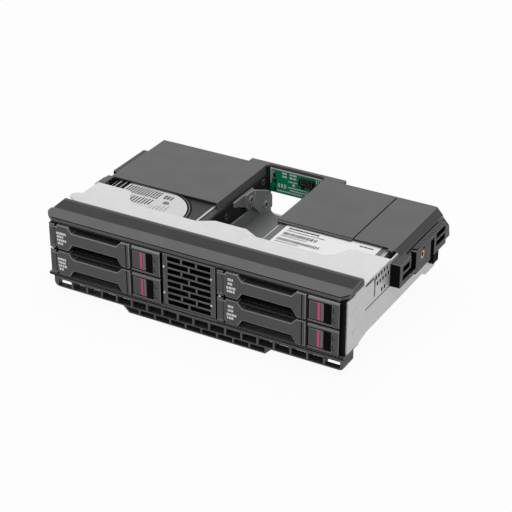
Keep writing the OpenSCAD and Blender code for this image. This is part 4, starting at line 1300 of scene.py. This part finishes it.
# Place of the metal of a part's ends in the list of materials
END_METAL = 1
chips = bmesh.new()
for x, z, w, h in BOARD_PARTS:
    block(chips, (x - w / 2, x + w / 2), PART_DEPTHS, (z - h / 2, z + h / 2))
    for end in (x - w / 2 - END_WIDTH, x + w / 2):
        paint(block(chips, (end, end + END_WIDTH), END_DEPTHS, (z - h / 3, z + h / 3)), END_METAL)
add_piece("board_parts", chips, (socket_black, screw_zinc), "cage")
print(len(BOARD_PARTS), "small parts placed")

# %% Dress the connectors
MOUTH_AREA = 20 * MM * MM
MOUTH_REACH = 0.1
# Wall and depth of the hollows in the rear connectors and in the front one
REAR_HOLLOW = (0.9, 2.6)
HEAD_HOLLOW = (0.5, 1.6)


def sink(shape, faces, wall, hollow):
    """Sinks a hollow into each face, inside a wall, and paints shade into it."""
    bmesh.ops.inset_individual(shape, faces=faces, thickness=wall * MM, depth=-hollow * MM)
    paint(faces, RECESS)


connectors = merged_copy("board_connectors")
head_end, rear_end = [corner[1] for corner in corners("board_connectors")]
mouths = [face for face in connectors.faces if abs(face.normal.y) > FACING and face.calc_area() > MOUTH_AREA]
rear_mouths = [face for face in mouths if depth(face) > rear_end - MOUTH_REACH]
head_mouths = [face for face in mouths if depth(face) < head_end + MOUTH_REACH]
mouth_boxes = [measure([vert.co for vert in face.verts]) for face in rear_mouths + head_mouths]
sink(connectors, rear_mouths, *REAR_HOLLOW)
sink(connectors, head_mouths, *HEAD_HOLLOW)
dress("board_connectors", connectors)
print(len(rear_mouths), "rear mouths,", len(head_mouths), "front mouths")

# %% Contacts in the connectors
CONTACT_PITCH = 1.4
CONTACT_MARGIN = 1.2
CONTACT_HALF = 0.25
CONTACT_REACH = (0.5, 3.0)
CONTACT_ROWS = (0.34, 0.66)
contacts = bmesh.new()
for low, high in mouth_boxes:
    row_length = high[0] - low[0] - 2 * CONTACT_MARGIN
    count = int(row_length / CONTACT_PITCH)
    inward = -1 if low[1] > board_front else 1
    depths = sorted(low[1] + inward * reach for reach in CONTACT_REACH)
    for i in range(count + 1):
        x = low[0] + CONTACT_MARGIN + i * row_length / count
        across = (x - CONTACT_HALF, x + CONTACT_HALF)
        for share in CONTACT_ROWS:
            z = low[2] * (1 - share) + high[2] * share
            block(contacts, across, depths, (z - CONTACT_HALF, z + CONTACT_HALF))
add_piece("connector_contacts", contacts, (brass,), "cage")
print("contacts in", len(mouth_boxes), "connectors")

# %% Dress the screws
HEAD_AREA = 4 * MM * MM
SCREW_HOLLOW = (0.8, 0.6)
screws = merged_copy("board_screws")
heads = [face for face in screws.faces if face.normal.y > FACING and face.calc_area() > HEAD_AREA]
sink(screws, heads, *SCREW_HOLLOW)
dress("board_screws", screws)
print("recessed", len(heads), "screw heads")

# %% [markdown]
# ## Bosses in the channel
#
# Two small ring bosses stand on the left wall of the channel. Each could be a cylinder with a hole and a
# bevel. An outline spun round an axis across the cage gives the hole and the rounded rim in one step.

# %% Add the ring bosses
BOSS = ((1.4, -0.1), (1.4, 0.4), (1.55, 0.55), (1.85, 0.55), (2.1, 0.2), (2.1, -0.1))
BOSS_PLACES = ((75.0, 34.3), (120.5, 38.0))
bosses = bmesh.new()
wall_x = corners("left_channel_wall")[1][0]
for y, z in BOSS_PLACES:
    join(bosses, turned(BOSS, (wall_x, y, z), RIGHT, closed=True))
add_piece("wall_bosses", bosses, (carrier_black,), "cage")
print("bosses on the wall at", round(wall_x, 2), "mm")
